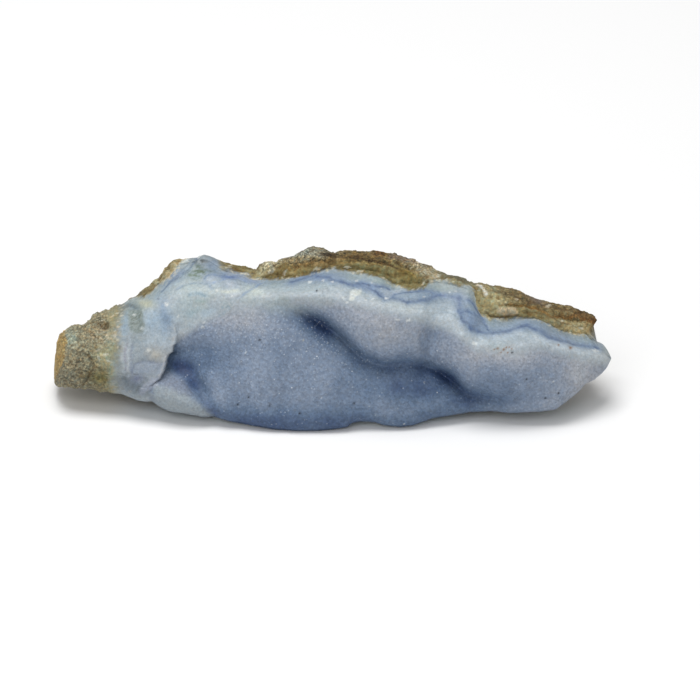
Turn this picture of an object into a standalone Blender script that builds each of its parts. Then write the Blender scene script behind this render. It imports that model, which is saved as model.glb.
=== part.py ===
"""Rough blue chalcedony: one broken lump of banded chalcedony with a druzy face,
still carrying host rock along its top, its left end and its back.

The lump is lofted from rings across its length. Shapes are first placed in a face frame:
u runs along the stone, v runs up the druzy face and w points straight out of it.
That frame leans back from upright, and the stone rests on a broken flat at z = 0.
All the sizes below are in millimetres, in the face frame unless they say otherwise.
"""

import math

import bmesh
import bpy
import numpy as np
from mathutils import Vector, noise

MM = 0.001

# The stone as a whole
FACE_LEAN = math.radians(28)
FLOOR = -13.95
CENTRE_Y = 2.04

# Rings left and right of the fracture edge, and points on each stretch of a ring
RINGS_LEFT = 21
RINGS_RIGHT = 78
LOW_POINTS = 10
LOBE_POINTS = 7
BAND_POINTS = 4
CREST_POINTS = 5
BACK_POINTS = 12
UNDER_POINTS = 7
END_RINGS = (0.12, 0.4, 0.8)

# Upper outline of the stone, from the left end to the right tip
TOP_EDGE = (
    (-55.8, -5.2), (-55.6, -3.0), (-55.0, -1.2), (-54.4, 0.8), (-53.2, 2.2), (-51.2, 2.8),
    (-49.8, 2.8), (-48.8, 3.3), (-47.6, 4.5), (-46.0, 5.3), (-43.6, 6.4), (-41.2, 7.6),
    (-38.8, 8.9), (-36.4, 10.7), (-34.0, 13.2), (-32.8, 15.0), (-31.6, 15.8), (-29.2, 16.3),
    (-27.4, 16.5), (-25.6, 17.1), (-24.0, 16.6), (-22.0, 15.7), (-19.4, 14.8), (-17.2, 14.2),
    (-15.0, 14.0), (-14.4, 14.9), (-13.6, 15.7), (-12.4, 15.8), (-11.2, 15.6), (-9.4, 16.5),
    (-7.4, 17.0), (-5.4, 18.1), (-3.0, 18.4), (-1.4, 18.1), (0.0, 17.4), (2.6, 17.8),
    (8.6, 17.6), (11.6, 16.9), (14.6, 16.5), (17.6, 15.6), (19.6, 14.8), (21.0, 13.8),
    (24.6, 12.5), (27.6, 11.4), (31.2, 11.1), (34.6, 10.4), (37.6, 9.8), (39.6, 8.8),
    (41.8, 7.8), (45.6, 7.1), (48.6, 6.1), (51.2, 5.4), (52.4, 4.7), (52.9, 3.8),
    (53.1, -0.2), (54.2, -0.7), (55.0, -1.7), (55.6, -2.8), (55.9, -3.6),
)

# Lower outline, along the broken front edge
BOTTOM_EDGE = (
    (-55.8, -7.2), (-55.6, -8.6), (-55.0, -9.1), (-53.2, -9.2), (-49.6, -9.4), (-46.4, -10.0),
    (-42.4, -10.8), (-39.2, -11.9), (-38.0, -12.2), (-36.0, -12.3), (-34.4, -13.4),
    (-32.4, -14.2), (-29.4, -14.7), (-25.8, -15.4), (-23.8, -15.2), (-20.8, -16.2),
    (-16.4, -17.0), (-12.0, -17.8), (-8.0, -18.2), (-3.4, -18.2), (0.6, -17.8), (3.0, -17.4),
    (4.2, -16.5), (6.0, -16.2), (8.6, -16.4), (10.2, -17.0), (13.6, -17.4), (16.0, -17.1),
    (18.6, -16.2), (20.2, -15.6), (23.6, -15.1), (27.6, -14.4), (32.0, -14.2), (35.6, -14.6),
    (41.6, -14.3), (44.6, -13.9), (46.6, -12.5), (49.6, -10.1), (50.6, -8.8), (52.4, -8.0),
    (54.0, -6.7), (55.0, -5.6), (55.6, -4.4), (55.9, -3.8),
)

# Where the druzy face rolls over into the broken band, and where the band meets host rock
RIM = (
    (-55.8, -5.6), (-53.2, 0.0), (-43.0, 2.0), (-36.0, 5.5), (-30.0, 8.6), (-24.0, 8.8),
    (-12.0, 8.8), (0.0, 9.0), (8.0, 7.4), (16.0, 5.4), (24.0, 2.8), (29.0, -0.6),
    (35.0, -1.2), (42.0, -0.6), (48.0, -2.0), (53.0, -3.4), (55.9, -3.7),
)
ROCK_LINE = (
    (-55.8, -5.4), (-53.2, 1.2), (-43.0, 5.2), (-38.8, 7.9), (-34.4, 11.4), (-30.8, 14.8),
    (-25.6, 15.9), (-21.6, 13.8), (-15.0, 12.4), (-6.0, 12.6), (0.0, 14.2), (8.0, 13.8),
    (13.0, 11.0), (20.0, 11.4), (27.0, 10.2), (30.0, 5.4), (34.0, 4.2), (40.0, 4.2),
    (46.0, 1.8), (51.5, 0.8), (53.1, -1.2), (55.9, -3.65),
)

# How far each line stands out of the face frame's plane
LOW_OUT = (
    (-55.8, -7.0), (-53.4, 0.8), (-48.0, 1.6), (-43.0, 2.4), (-36.0, 3.6), (-30.0, 3.8),
    (-24.0, 4.4), (-17.0, 5.6), (-6.0, 6.6), (4.0, 6.2), (14.0, 5.6), (22.0, 5.0),
    (30.0, 5.2), (38.0, 5.6), (45.0, 5.0), (51.0, 2.6), (54.0, 0.4), (55.9, -2.6),
)
RIM_OUT = (
    (-55.8, -7.0), (-53.4, 0.4), (-48.0, 1.4), (-43.0, 2.2), (-36.0, 3.8), (-30.0, 4.6),
    (-24.0, 5.2), (-17.0, 6.6), (-6.0, 7.8), (4.0, 7.9), (14.0, 7.8), (22.0, 7.2),
    (30.0, 7.2), (38.0, 6.8), (45.0, 5.4), (51.0, 3.0), (54.0, 0.6), (55.9, -2.6),
)
ROCK_OUT = (
    (-55.8, -8.0), (-53.4, -1.8), (-43.0, -1.0), (-36.0, -1.2), (-30.0, -2.0), (-25.0, -1.6),
    (-20.0, 0.6), (-14.0, 1.2), (-6.0, 1.4), (4.0, 0.8), (14.0, 1.8), (22.0, 0.2),
    (30.0, 1.2), (38.0, 0.2), (45.0, -1.0), (51.0, -2.4), (53.4, -1.4), (55.9, -2.9),
)
CREST_OUT = (
    (-55.8, -8.6), (-53.4, -6.4), (-43.0, -5.6), (-36.0, -5.6), (-30.0, -5.0), (-25.0, -4.2),
    (-19.0, -5.4), (-14.0, -6.4), (-6.0, -8.2), (4.0, -8.8), (14.0, -8.2), (22.0, -6.8),
    (30.0, -6.4), (38.0, -6.4), (45.0, -6.4), (51.0, -6.6), (53.4, -3.8), (55.9, -3.1),
)

# The hidden back, upright: how far it lies behind the crest, and the level of the underside
BACK_DEPTH = (
    (-55.8, 0.8), (-53.0, 3.6), (-46.0, 5.0), (-36.0, 5.6), (-24.0, 6.6), (-12.0, 4.6),
    (0.0, 3.4), (12.0, 4.2), (24.0, 5.2), (36.0, 4.6), (46.0, 3.2), (52.0, 1.6), (55.9, 0.3),
)
UNDER_LEVEL = (
    (-55.8, -8.6), (-53.0, -10.8), (-46.0, -11.8), (-36.0, -12.8), (-27.0, -14.9),
    (0.0, -15.2), (17.0, -15.0), (25.0, -12.8), (38.0, -11.4), (46.0, -9.0), (52.0, -6.4),
    (55.9, -4.6),
)
UNDER_SLOPE = 0.44
BACK_LEAN = 0.12

# The crease under the hanging lobes: its path, how deep it is cut, and the lobes' step over it
CREASE = (
    (-55.8, -6.4), (-36.0, -5.0), (-24.0, 3.0), (-14.0, 7.2), (-8.0, 6.2), (-2.0, 3.2),
    (1.6, 0.6), (4.4, -2.2), (7.0, -4.2), (11.0, -5.2), (15.0, -4.8), (19.0, -5.4),
    (23.2, -7.6), (27.6, -11.0), (33.0, -12.0), (46.0, -11.4), (55.9, -3.75),
)
CREASE_DEPTH = (
    (-14.0, 0.0), (-8.0, 1.0), (-1.6, 4.0), (2.0, 3.6), (7.0, 2.6), (14.0, 2.4), (19.0, 3.2),
    (23.2, 5.0), (27.0, 3.4), (33.0, 1.6), (40.0, 0.4), (46.0, 0.0),
)
LOBE_STEP = (
    (-14.0, 0.0), (-8.0, 0.5), (-1.6, 1.5), (7.0, 1.9), (16.0, 1.7), (21.0, 1.0),
    (26.0, 2.0), (33.0, 1.7), (42.0, 0.6), (46.0, 0.0),
)
CREASE_REACH_UP = 1.7
CREASE_REACH_DOWN = 3.0
CREASE_SHARPNESS = 0.25
CREASE_SLANT = 0.85
STEP_REACH = 2.6

# The fracture edge at the left, which stands over a hollow: (v, u) going up, and the drop
FRACTURE_U = -33.2
FRACTURE_EDGE = (
    (-11.5, -33.2), (-9.2, -36.4), (-7.6, -34.4), (-6.0, -33.6), (-4.2, -33.2),
    (-2.8, -32.8), (-2.4, -31.9), (-1.0, -31.8), (-0.7, -31.2), (1.2, -31.0), (6.0, -33.2),
)
FRACTURE_WARP = 8.0
FRACTURE_GAP = 0.2
FRACTURE_DROP = (
    (-10.4, 0.0), (-9.0, 0.3), (-7.6, 1.3), (-5.4, 3.8), (-3.0, 3.6), (-0.6, 1.7), (1.4, 0.5),
    (3.0, 0.0),
)
HOLLOW_REACH = 4.6

# Soft lumps and dips, one row each: u, v, half width, half height, turn in degrees, out
LUMPS = (
    (-30.0, -12.2, 6.0, 2.8, -20, 1.5),
    (-22.0, -12.0, 5.0, 4.5, 0, 0.5),
    (-13.6, -8.0, 4.5, 5.0, 10, 0.7),
    (-1.0, -9.5, 4.5, 5.0, 0, 0.6),
    (10.6, -11.0, 4.5, 3.6, 0, 0.6),
    (-18.4, -13.0, 1.6, 5.0, 0, -0.5),
    (-9.4, -12.0, 1.8, 5.0, 0, -0.6),
    (-5.6, 9.4, 5.0, 2.2, -8, 0.8),
    (10.0, 3.0, 5.5, 4.0, -20, 1.0),
    (38.0, -5.0, 8.0, 5.0, -5, 1.0),
    (31.0, 1.0, 3.0, 2.0, 0, 0.4),
    (19.4, -1.6, 1.8, 5.0, -8, -1.5),
    (-26.4, -9.4, 1.5, 5.0, 32, -1.3),
    (-12.6, 15.0, 1.8, 1.2, 0, 1.6),
    (-3.4, 17.2, 3.0, 1.6, 0, 1.4),
    (6.0, 15.8, 6.0, 1.6, 0, 0.8),
    (34.0, 8.0, 4.0, 2.0, -20, 0.9),
    (46.0, 4.6, 5.0, 1.4, -18, 0.6),
    (-21.0, 11.6, 2.4, 1.2, 0, 0.7),
    (-17.0, 12.2, 2.2, 1.0, -10, 0.6),
    (-45.6, 2.6, 1.4, 1.2, 0, -1.0),
)
EDGE_ROUND = 2.2
RIM_ROUND = 0.7

# The relief fades where the stone is lower than this
FULL_HEIGHT = 8.0

# The bite under the rock nose at the right end
NOTCH = (53.1, 1.7)
NOTCH_DEPTH = 1.6
NOTCH_HEIGHT = 1.3
NOTCH_REACH = 3.0

# Flats where chips broke off the hidden back: a point and a way out, upright, and its reach
CHIPS = (
    ((2.0, 13.4, 16.0), (-0.06, 0.97, 0.22), 20.0),
    ((-22.0, 12.0, 14.0), (-0.34, 0.92, 0.20), 15.0),
    ((25.0, 10.6, 14.0), (0.30, 0.90, 0.32), 16.0),
    ((-40.0, 7.0, 8.0), (-0.10, 0.98, -0.16), 12.0),
    ((12.0, 11.4, 5.0), (0.16, 0.84, -0.52), 15.0),
    ((-12.0, 10.2, 4.0), (-0.14, 0.76, -0.63), 16.0),
    ((36.0, 6.4, 6.0), (0.28, 0.72, -0.63), 14.0),
)
CHIP_DEPTH = 2.6

# Roughness of the host rock and of the broken chalcedony
ROCK_BLOCK = 4.2
ROCK_STEP = 0.42
ROCK_GRAIN = 2.4
ROCK_ROUGH = 0.34
BAND_WAVE = 4.6
BAND_ROUGH = 0.22


def smooth_curve(points, at):
    """Values of a curve that passes smoothly through its points, with no overshoot."""
    x, y = np.array(points, float).T
    step = np.diff(x)
    slope = np.diff(y) / step
    turn = slope[:-1] * slope[1:]
    middle = np.where(turn > 0, 2 * turn / (slope[:-1] + slope[1:] + (turn <= 0)), 0)
    tangent = np.concatenate([slope[:1], middle, slope[-1:]])
    at = np.clip(at, x[0], x[-1])
    k = np.clip(np.searchsorted(x, at) - 1, 0, len(step) - 1)
    t = (at - x[k]) / step[k]
    rise = tangent[k] * t * (1 - t) ** 2 - tangent[k + 1] * t * t * (1 - t)
    return y[k] + (y[k + 1] - y[k]) * t * t * (3 - 2 * t) + rise * step[k]


def line(points, at):
    """Values of a broken line through its points."""
    x, y = np.array(points, float).T
    return np.interp(at, x, y)


def ease(t):
    """0 to 1 with a soft start and a soft end."""
    t = np.clip(t, 0, 1)
    return t * t * (3 - 2 * t)


def lesser(a, b):
    """The lesser of two heights, rounded where they cross."""
    low = np.minimum(a, b)
    return low - RIM_ROUND * np.log1p(np.exp(-np.abs(a - b) / RIM_ROUND))


def upright(u, v, w):
    """Face frame to the stone's own frame, in millimetres: x along, y back, z up."""
    y = v * math.sin(FACE_LEAN) - w * math.cos(FACE_LEAN)
    z = v * math.cos(FACE_LEAN) + w * math.sin(FACE_LEAN)
    return np.stack([u, y - CENTRE_Y, z - FLOOR], axis=-1)


def face_height(points):
    """How far up the druzy face's plane upright points lie."""
    y = points[..., 1] + CENTRE_Y
    z = points[..., 2] + FLOOR
    return y * math.sin(FACE_LEAN) + z * math.cos(FACE_LEAN)


def crease_relief(u, v):
    """The hanging lobes step out over the lower face, with a sharp crease below them."""
    above = (v - smooth_curve(CREASE, u)) * CREASE_SLANT
    reach = np.where(above > 0, CREASE_REACH_UP, CREASE_REACH_DOWN)
    away = np.sqrt(above**2 + CREASE_SHARPNESS**2) - CREASE_SHARPNESS
    cut = smooth_curve(CREASE_DEPTH, u) * np.exp(-away / reach)
    return smooth_curve(LOBE_STEP, u) * ease(above / STEP_REACH) - cut


def warped(u, v):
    """u of the rings bent so that one pair of them follows the fracture edge."""
    shift = line(FRACTURE_EDGE, v) - FRACTURE_U
    return u + shift * ease(1 - np.abs(u - FRACTURE_U) / FRACTURE_WARP)


def fracture_relief(u, v):
    """Right of the jagged fracture edge the surface drops into a hollow."""
    beyond = u - line(FRACTURE_EDGE, v)
    drop = smooth_curve(FRACTURE_DROP, v) * np.exp(-np.maximum(beyond, 0) / HOLLOW_REACH)
    return np.where(beyond > 0, -drop, 0)


def lump_relief(u, v):
    """The sum of the soft lumps and dips."""
    total = np.zeros_like(u)
    for at_u, at_v, wide, high, turn, out in LUMPS:
        c = math.cos(math.radians(turn))
        s = math.sin(math.radians(turn))
        along = ((u - at_u) * c + (v - at_v) * s) / wide
        across = ((v - at_v) * c - (u - at_u) * s) / high
        total += out * np.exp(-along**2 - across**2)
    return total


def rounded_edge(v, bottom):
    """The face turns under just above the lower outline."""
    near = np.clip(1 - (v - bottom) / EDGE_ROUND, 0, 1)
    return -EDGE_ROUND * (1 - np.sqrt(np.maximum(1 - near**2, 0)))


def bitten(u, v):
    """u with the bite under the rock nose taken out."""
    high = np.exp(-(((v - NOTCH[1]) / NOTCH_HEIGHT) ** 2))
    return u - NOTCH_DEPTH * high * ease(1 - np.abs(NOTCH[0] - u) / NOTCH_REACH)


def front_of(u):
    """Rings' front stretches: arrays of u, v and w, one row for each ring."""
    bottom = line(BOTTOM_EDGE, u)[:, None]
    top = line(TOP_EDGE, u)[:, None]
    tall = top - bottom
    rim = np.clip(smooth_curve(RIM, u)[:, None], bottom + 0.3 * tall, top - 0.1 * tall)
    crease = np.clip(smooth_curve(CREASE, u)[:, None], bottom + 0.15 * tall, rim - 0.1 * tall)
    rock = np.clip(smooth_curve(ROCK_LINE, u)[:, None], rim + 0.05 * tall, top)
    low_out = smooth_curve(LOW_OUT, u)[:, None]
    rim_out = smooth_curve(RIM_OUT, u)[:, None]
    rock_out = smooth_curve(ROCK_OUT, u)[:, None]
    crest_out = smooth_curve(CREST_OUT, u)[:, None]
    low = np.linspace(0, 1, LOW_POINTS, endpoint=False)[None, :]
    lobe = np.linspace(0, 1, LOBE_POINTS, endpoint=False)[None, :]
    band = np.linspace(0, 1, BAND_POINTS, endpoint=False)[None, :]
    crest = np.linspace(0, 1, CREST_POINTS)[None, :] * math.pi / 2
    face = np.hstack([bottom + (crease - bottom) * low, crease + (rim - crease) * lobe])
    v = np.hstack([
        face,
        rim + (rock - rim) * band,
        rock + (top - rock) * np.sin(crest),
    ])
    w_face = low_out + (rim_out - low_out) * (v - bottom) / (rim - bottom)
    w_band = rim_out + (rock_out - rim_out) * (v - rim) / (rock - rim)
    w = lesser(w_face, w_band)
    w[:, -CREST_POINTS:] = rock_out + (crest_out - rock_out) * (1 - np.cos(crest))
    u = warped(np.repeat(u[:, None], v.shape[1], axis=1), v)
    slim = ease(tall / FULL_HEIGHT)
    w = w + slim * (crease_relief(u, v) + fracture_relief(u, v) + lump_relief(u, v))
    return bitten(u, v), v, w + rounded_edge(v, bottom) * slim


def back_of(u, crest, foot):
    """The hidden stretch of one ring, from its crest round the back to its front foot."""
    under = min(float(smooth_curve(UNDER_LEVEL, u)) - FLOOR, foot[2])
    height = crest[2] - under
    depth = float(smooth_curve(BACK_DEPTH, u))
    back = crest[1] + depth
    heel = back - BACK_LEAN * height - 0.12 * (back - foot[1])
    stations = (
        (crest[1], crest[2]),
        (crest[1] + 0.62 * depth, crest[2] - 0.12 * height),
        (back, crest[2] - 0.36 * height),
        (back - 0.4 * BACK_LEAN * height, crest[2] - 0.7 * height),
        (heel, under),
    )
    y, z = np.array(stations).T
    far = np.concatenate([[0], np.cumsum(np.hypot(np.diff(y), np.diff(z)) + 1e-6)])
    at = np.linspace(0, far[-1], BACK_POINTS, endpoint=False)[1:]
    rear_y = smooth_curve(np.stack([far, y], axis=1), at)
    rear_z = smooth_curve(np.stack([far, z], axis=1), at)
    base_y = np.linspace(heel, foot[1], UNDER_POINTS, endpoint=False)
    base_z = np.maximum(foot[2] - UNDER_SLOPE * (base_y - foot[1]), under)
    ring_y = np.concatenate([rear_y, base_y])
    ring_z = np.concatenate([rear_z, base_z])
    return np.stack([np.full_like(ring_y, u), ring_y, ring_z], axis=-1)


def chipped(points):
    """Points beyond a chip's plane, and near it, are laid back onto it."""
    for place, out, reach in CHIPS:
        out = np.array(out) / np.linalg.norm(out)
        offset = points - place
        near = ease(2 - 2 * np.linalg.norm(offset, axis=-1) / reach)
        over = np.clip(offset @ out, 0, CHIP_DEPTH) * near
        points = points - over[..., None] * out
    return points


def outward(points):
    """Unit normals of the ring grid."""
    along = np.gradient(points, axis=0)
    around = np.roll(points, -1, axis=1) - np.roll(points, 1, axis=1)
    normal = np.cross(along, around)
    return normal / np.maximum(np.linalg.norm(normal, axis=-1, keepdims=True), 1e-9)


def block_noise(point):
    """Blocky steps of broken rock: each cell is a small plane with its own tilt."""
    centre = noise.voronoi(point)[1][0]
    tilt = noise.cell_vector(centre * 7.3)
    return tilt.dot(point - centre) + 0.5 * tilt.x


def rock_share(v, rock, count_back):
    """1 on host rock and 0 on the broken band, for every point of a ring."""
    front = ease((v - rock + 0.6) / 1.2)
    return np.concatenate([front, np.ones(count_back)])


def stone_points():
    """The grid of ring points, upright, in millimetres."""
    left, right = TOP_EDGE[0][0], TOP_EDGE[-1][0]
    u = np.sort(np.concatenate([
        np.linspace(left, FRACTURE_U, RINGS_LEFT),
        np.linspace(FRACTURE_U + FRACTURE_GAP, right, RINGS_RIGHT),
        left + np.array(END_RINGS),
        right - np.array(END_RINGS),
    ]))
    front_u, v, w = front_of(u)
    front = upright(front_u, v, w)
    back = np.stack([back_of(*ends) for ends in zip(u, front[:, -1], front[:, 0])])
    back = chipped(back)
    back[..., 0] = bitten(back[..., 0], face_height(back))
    points = np.concatenate([front, back], axis=1)
    normal = outward(points)
    rock_line = smooth_curve(ROCK_LINE, u)
    left_block = ease((-43.0 - u) / 2.0)
    rough = np.zeros(points.shape[:2])
    for i in range(len(u)):
        share = np.maximum(rock_share(v[i], rock_line[i], back.shape[1]), left_block[i])
        for j in range(points.shape[1]):
            at = Vector(points[i, j])
            rock = ROCK_STEP * block_noise(at / ROCK_BLOCK)
            rock += ROCK_ROUGH * noise.noise(at / ROCK_GRAIN)
            band = BAND_ROUGH * noise.noise(at / BAND_WAVE)
            face = j < LOW_POINTS + LOBE_POINTS and u[i] > FRACTURE_U
            rough[i, j] = share[j] * rock + (1 - share[j]) * band * (not face)
    slim = ease((line(TOP_EDGE, u) - line(BOTTOM_EDGE, u) - 2) / FULL_HEIGHT)
    return points + normal * (rough * slim[:, None])[..., None]


def stone_mesh():
    """One closed mesh from the rings, cut flat where it rests."""
    points = stone_points() * MM
    rings, around = points.shape[:2]
    mesh = bmesh.new()
    grid = [[mesh.verts.new(points[i, j]) for j in range(around)] for i in range(rings)]
    for i in range(rings - 1):
        for j in range(around):
            k = (j + 1) % around
            mesh.faces.new((grid[i][j], grid[i + 1][j], grid[i + 1][k], grid[i][k]))
    mesh.faces.new(grid[0])
    mesh.faces.new(reversed(grid[-1]))
    bmesh.ops.triangulate(mesh, faces=mesh.faces[:])
    cut = bmesh.ops.bisect_plane(
        mesh,
        geom=mesh.verts[:] + mesh.edges[:] + mesh.faces[:],
        dist=1e-6,
        plane_co=(0, 0, 0),
        plane_no=(0, 0, -1),
        clear_outer=True,
    )
    rim = [part for part in cut["geom_cut"] if isinstance(part, bmesh.types.BMEdge)]
    base = bmesh.ops.holes_fill(mesh, edges=rim, sides=0)["faces"]
    bmesh.ops.triangulate(mesh, faces=base)
    bmesh.ops.recalc_face_normals(mesh, faces=mesh.faces[:])
    if mesh.calc_volume(signed=True) < 0:
        bmesh.ops.reverse_faces(mesh, faces=mesh.faces[:])
    return mesh


def chalcedony_material():
    """Pale blue, slightly waxy."""
    material = bpy.data.materials.new("blue_chalcedony")
    material.use_nodes = True
    shader = material.node_tree.nodes["Principled BSDF"]
    shader.inputs["Base Color"].default_value = (0.21, 0.27, 0.36, 1)
    shader.inputs["Roughness"].default_value = 0.5
    shader.inputs["Metallic"].default_value = 0
    return material


def main():
    for old in list(bpy.data.objects):
        bpy.data.objects.remove(old)
    data = bpy.data.meshes.new("chalcedony")
    mesh = stone_mesh()
    mesh.to_mesh(data)
    mesh.free()
    data.materials.append(chalcedony_material())
    stone = bpy.data.objects.new("chalcedony", data)
    bpy.context.scene.collection.objects.link(stone)


main()
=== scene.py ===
"""The looks of the rough blue chalcedony: its fine surface, colours, stage and light.

The stone's values and shape functions are those of the solid that it replaces, drawn with
many more rings, and then roughened and painted. Shapes are placed in a face frame, in
millimetres: u along the stone, v up the druzy face and w straight out of it.
"""

import math

import bpy
import numpy as np
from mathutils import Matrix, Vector, noise


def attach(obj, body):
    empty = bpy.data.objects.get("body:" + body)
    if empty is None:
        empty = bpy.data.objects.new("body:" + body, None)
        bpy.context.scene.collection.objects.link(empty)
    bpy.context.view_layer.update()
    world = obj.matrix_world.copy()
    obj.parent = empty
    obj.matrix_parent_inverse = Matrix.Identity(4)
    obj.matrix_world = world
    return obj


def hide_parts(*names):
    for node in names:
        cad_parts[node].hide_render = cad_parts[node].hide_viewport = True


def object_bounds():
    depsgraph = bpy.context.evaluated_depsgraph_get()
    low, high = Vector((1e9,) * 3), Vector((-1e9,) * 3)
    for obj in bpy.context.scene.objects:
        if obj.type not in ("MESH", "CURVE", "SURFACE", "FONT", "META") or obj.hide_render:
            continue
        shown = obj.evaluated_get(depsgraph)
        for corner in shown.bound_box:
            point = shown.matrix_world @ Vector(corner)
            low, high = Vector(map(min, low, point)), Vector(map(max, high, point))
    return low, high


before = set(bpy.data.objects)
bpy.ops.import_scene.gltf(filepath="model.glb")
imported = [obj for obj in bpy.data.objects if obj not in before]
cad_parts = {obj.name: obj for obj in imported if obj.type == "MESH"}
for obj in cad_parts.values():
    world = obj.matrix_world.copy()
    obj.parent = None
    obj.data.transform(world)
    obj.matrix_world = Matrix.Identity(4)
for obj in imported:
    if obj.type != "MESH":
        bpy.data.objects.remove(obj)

CAD_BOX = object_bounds()
MM = 0.001

# The stone as a whole
FACE_LEAN = math.radians(28)
FLOOR = -13.95
CENTRE_Y = 2.04

# Rings left and right of the fracture edge, and points on each stretch of a ring
RINGS_LEFT = 86
RINGS_RIGHT = 333
LOW_POINTS = 66
LOBE_POINTS = 36
BAND_POINTS = 32
CREST_POINTS = 34
BACK_POINTS = 46
UNDER_POINTS = 20
END_RINGS = (0.05, 0.12, 0.2)

# Upper outline of the stone, from the left end to the right tip
TOP_EDGE = (
    (-55.8, -5.2), (-55.6, -3.0), (-55.0, -1.2), (-54.4, 0.8), (-53.2, 2.2), (-51.2, 2.8),
    (-49.8, 2.8), (-48.8, 3.3), (-47.6, 4.5), (-46.0, 5.3), (-43.6, 6.4), (-41.2, 7.6),
    (-38.8, 8.9), (-36.4, 10.7), (-34.0, 13.2), (-32.8, 15.0), (-31.6, 15.8), (-29.2, 16.3),
    (-27.4, 16.5), (-25.6, 17.1), (-24.0, 16.6), (-22.0, 15.7), (-19.4, 14.8), (-17.2, 14.2),
    (-15.0, 14.0), (-14.4, 14.9), (-13.6, 15.7), (-12.4, 15.8), (-11.2, 15.6), (-9.4, 16.5),
    (-7.4, 17.0), (-5.4, 18.1), (-3.0, 18.4), (-1.4, 18.1), (0.0, 17.4), (2.6, 17.8),
    (8.6, 17.6), (11.6, 16.9), (14.6, 16.5), (17.6, 15.6), (19.6, 14.8), (21.0, 13.8),
    (24.6, 12.5), (27.6, 11.4), (31.2, 11.1), (34.6, 10.4), (37.6, 9.8), (39.6, 8.8),
    (41.8, 7.8), (45.6, 7.1), (48.6, 6.1), (51.2, 5.4), (52.4, 4.7), (52.9, 3.8),
    (53.1, -0.2), (54.2, -0.7), (55.0, -1.7), (55.6, -2.8), (55.9, -3.6),
)

# Lower outline, along the broken front edge
BOTTOM_EDGE = (
    (-55.8, -7.2), (-55.6, -8.6), (-55.0, -9.1), (-53.2, -9.2), (-49.6, -9.4), (-46.4, -10.0),
    (-42.4, -10.8), (-39.2, -11.9), (-38.0, -12.2), (-36.0, -12.3), (-34.4, -13.4),
    (-32.4, -14.2), (-29.4, -14.7), (-25.8, -15.4), (-23.8, -15.2), (-20.8, -16.2),
    (-16.4, -17.0), (-12.0, -17.8), (-8.0, -18.2), (-3.4, -18.2), (0.6, -17.8), (3.0, -17.4),
    (4.2, -16.5), (6.0, -16.2), (8.6, -16.4), (10.2, -17.0), (13.6, -17.4), (16.0, -17.1),
    (18.6, -16.2), (20.2, -15.6), (23.6, -15.1), (27.6, -14.4), (32.0, -14.2), (35.6, -14.6),
    (41.6, -14.3), (44.6, -13.9), (46.6, -12.5), (49.6, -10.1), (50.6, -8.8), (52.4, -8.0),
    (54.0, -6.7), (55.0, -5.6), (55.6, -4.4), (55.9, -3.8),
)

# Where the druzy face rolls over into the broken band, and where the band meets host rock
RIM = (
    (-55.8, -5.6), (-53.2, 0.0), (-43.0, 2.0), (-36.0, 5.5), (-30.0, 8.6), (-24.0, 8.8),
    (-12.0, 8.8), (0.0, 9.0), (8.0, 7.4), (16.0, 5.4), (24.0, 2.8), (29.0, -0.6),
    (35.0, -1.2), (42.0, -0.6), (48.0, -2.0), (53.0, -3.4), (55.9, -3.7),
)
ROCK_LINE = (
    (-55.8, -5.4), (-53.2, 1.2), (-43.0, 5.2), (-38.8, 7.9), (-34.4, 11.4), (-30.8, 14.8),
    (-25.6, 15.9), (-21.6, 13.8), (-15.0, 12.4), (-6.0, 12.6), (0.0, 14.2), (8.0, 13.8),
    (13.0, 11.0), (20.0, 11.4), (27.0, 10.2), (30.0, 5.4), (34.0, 4.2), (40.0, 4.2),
    (46.0, 1.8), (51.5, 0.8), (53.1, -1.2), (55.9, -3.65),
)

# How far each line stands out of the face frame's plane
LOW_OUT = (
    (-55.8, -7.0), (-53.4, 0.8), (-48.0, 1.6), (-43.0, 2.4), (-36.0, 3.6), (-30.0, 3.8),
    (-24.0, 4.4), (-17.0, 5.6), (-6.0, 6.6), (4.0, 6.2), (14.0, 5.6), (22.0, 5.0),
    (30.0, 5.2), (38.0, 5.6), (45.0, 5.0), (51.0, 2.6), (54.0, 0.4), (55.9, -2.6),
)
RIM_OUT = (
    (-55.8, -7.0), (-53.4, 0.4), (-48.0, 1.4), (-43.0, 2.2), (-36.0, 3.8), (-30.0, 4.6),
    (-24.0, 5.2), (-17.0, 6.6), (-6.0, 7.8), (4.0, 7.9), (14.0, 7.8), (22.0, 7.2),
    (30.0, 7.2), (38.0, 6.8), (45.0, 5.4), (51.0, 3.0), (54.0, 0.6), (55.9, -2.6),
)
ROCK_OUT = (
    (-55.8, -8.0), (-53.4, -1.8), (-43.0, -1.0), (-36.0, -1.2), (-30.0, -2.0), (-25.0, -1.6),
    (-20.0, 0.6), (-14.0, 1.2), (-6.0, 1.4), (4.0, 0.8), (14.0, 1.8), (22.0, 0.2),
    (30.0, 1.2), (38.0, 0.2), (45.0, -1.0), (51.0, -2.4), (53.4, -1.4), (55.9, -2.9),
)
CREST_OUT = (
    (-55.8, -8.6), (-53.4, -6.4), (-43.0, -5.6), (-36.0, -5.6), (-30.0, -5.0), (-25.0, -4.2),
    (-19.0, -5.4), (-14.0, -6.4), (-6.0, -8.2), (4.0, -8.8), (14.0, -8.2), (22.0, -6.8),
    (30.0, -6.4), (38.0, -6.4), (45.0, -6.4), (51.0, -6.6), (53.4, -3.8), (55.9, -3.1),
)

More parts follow.
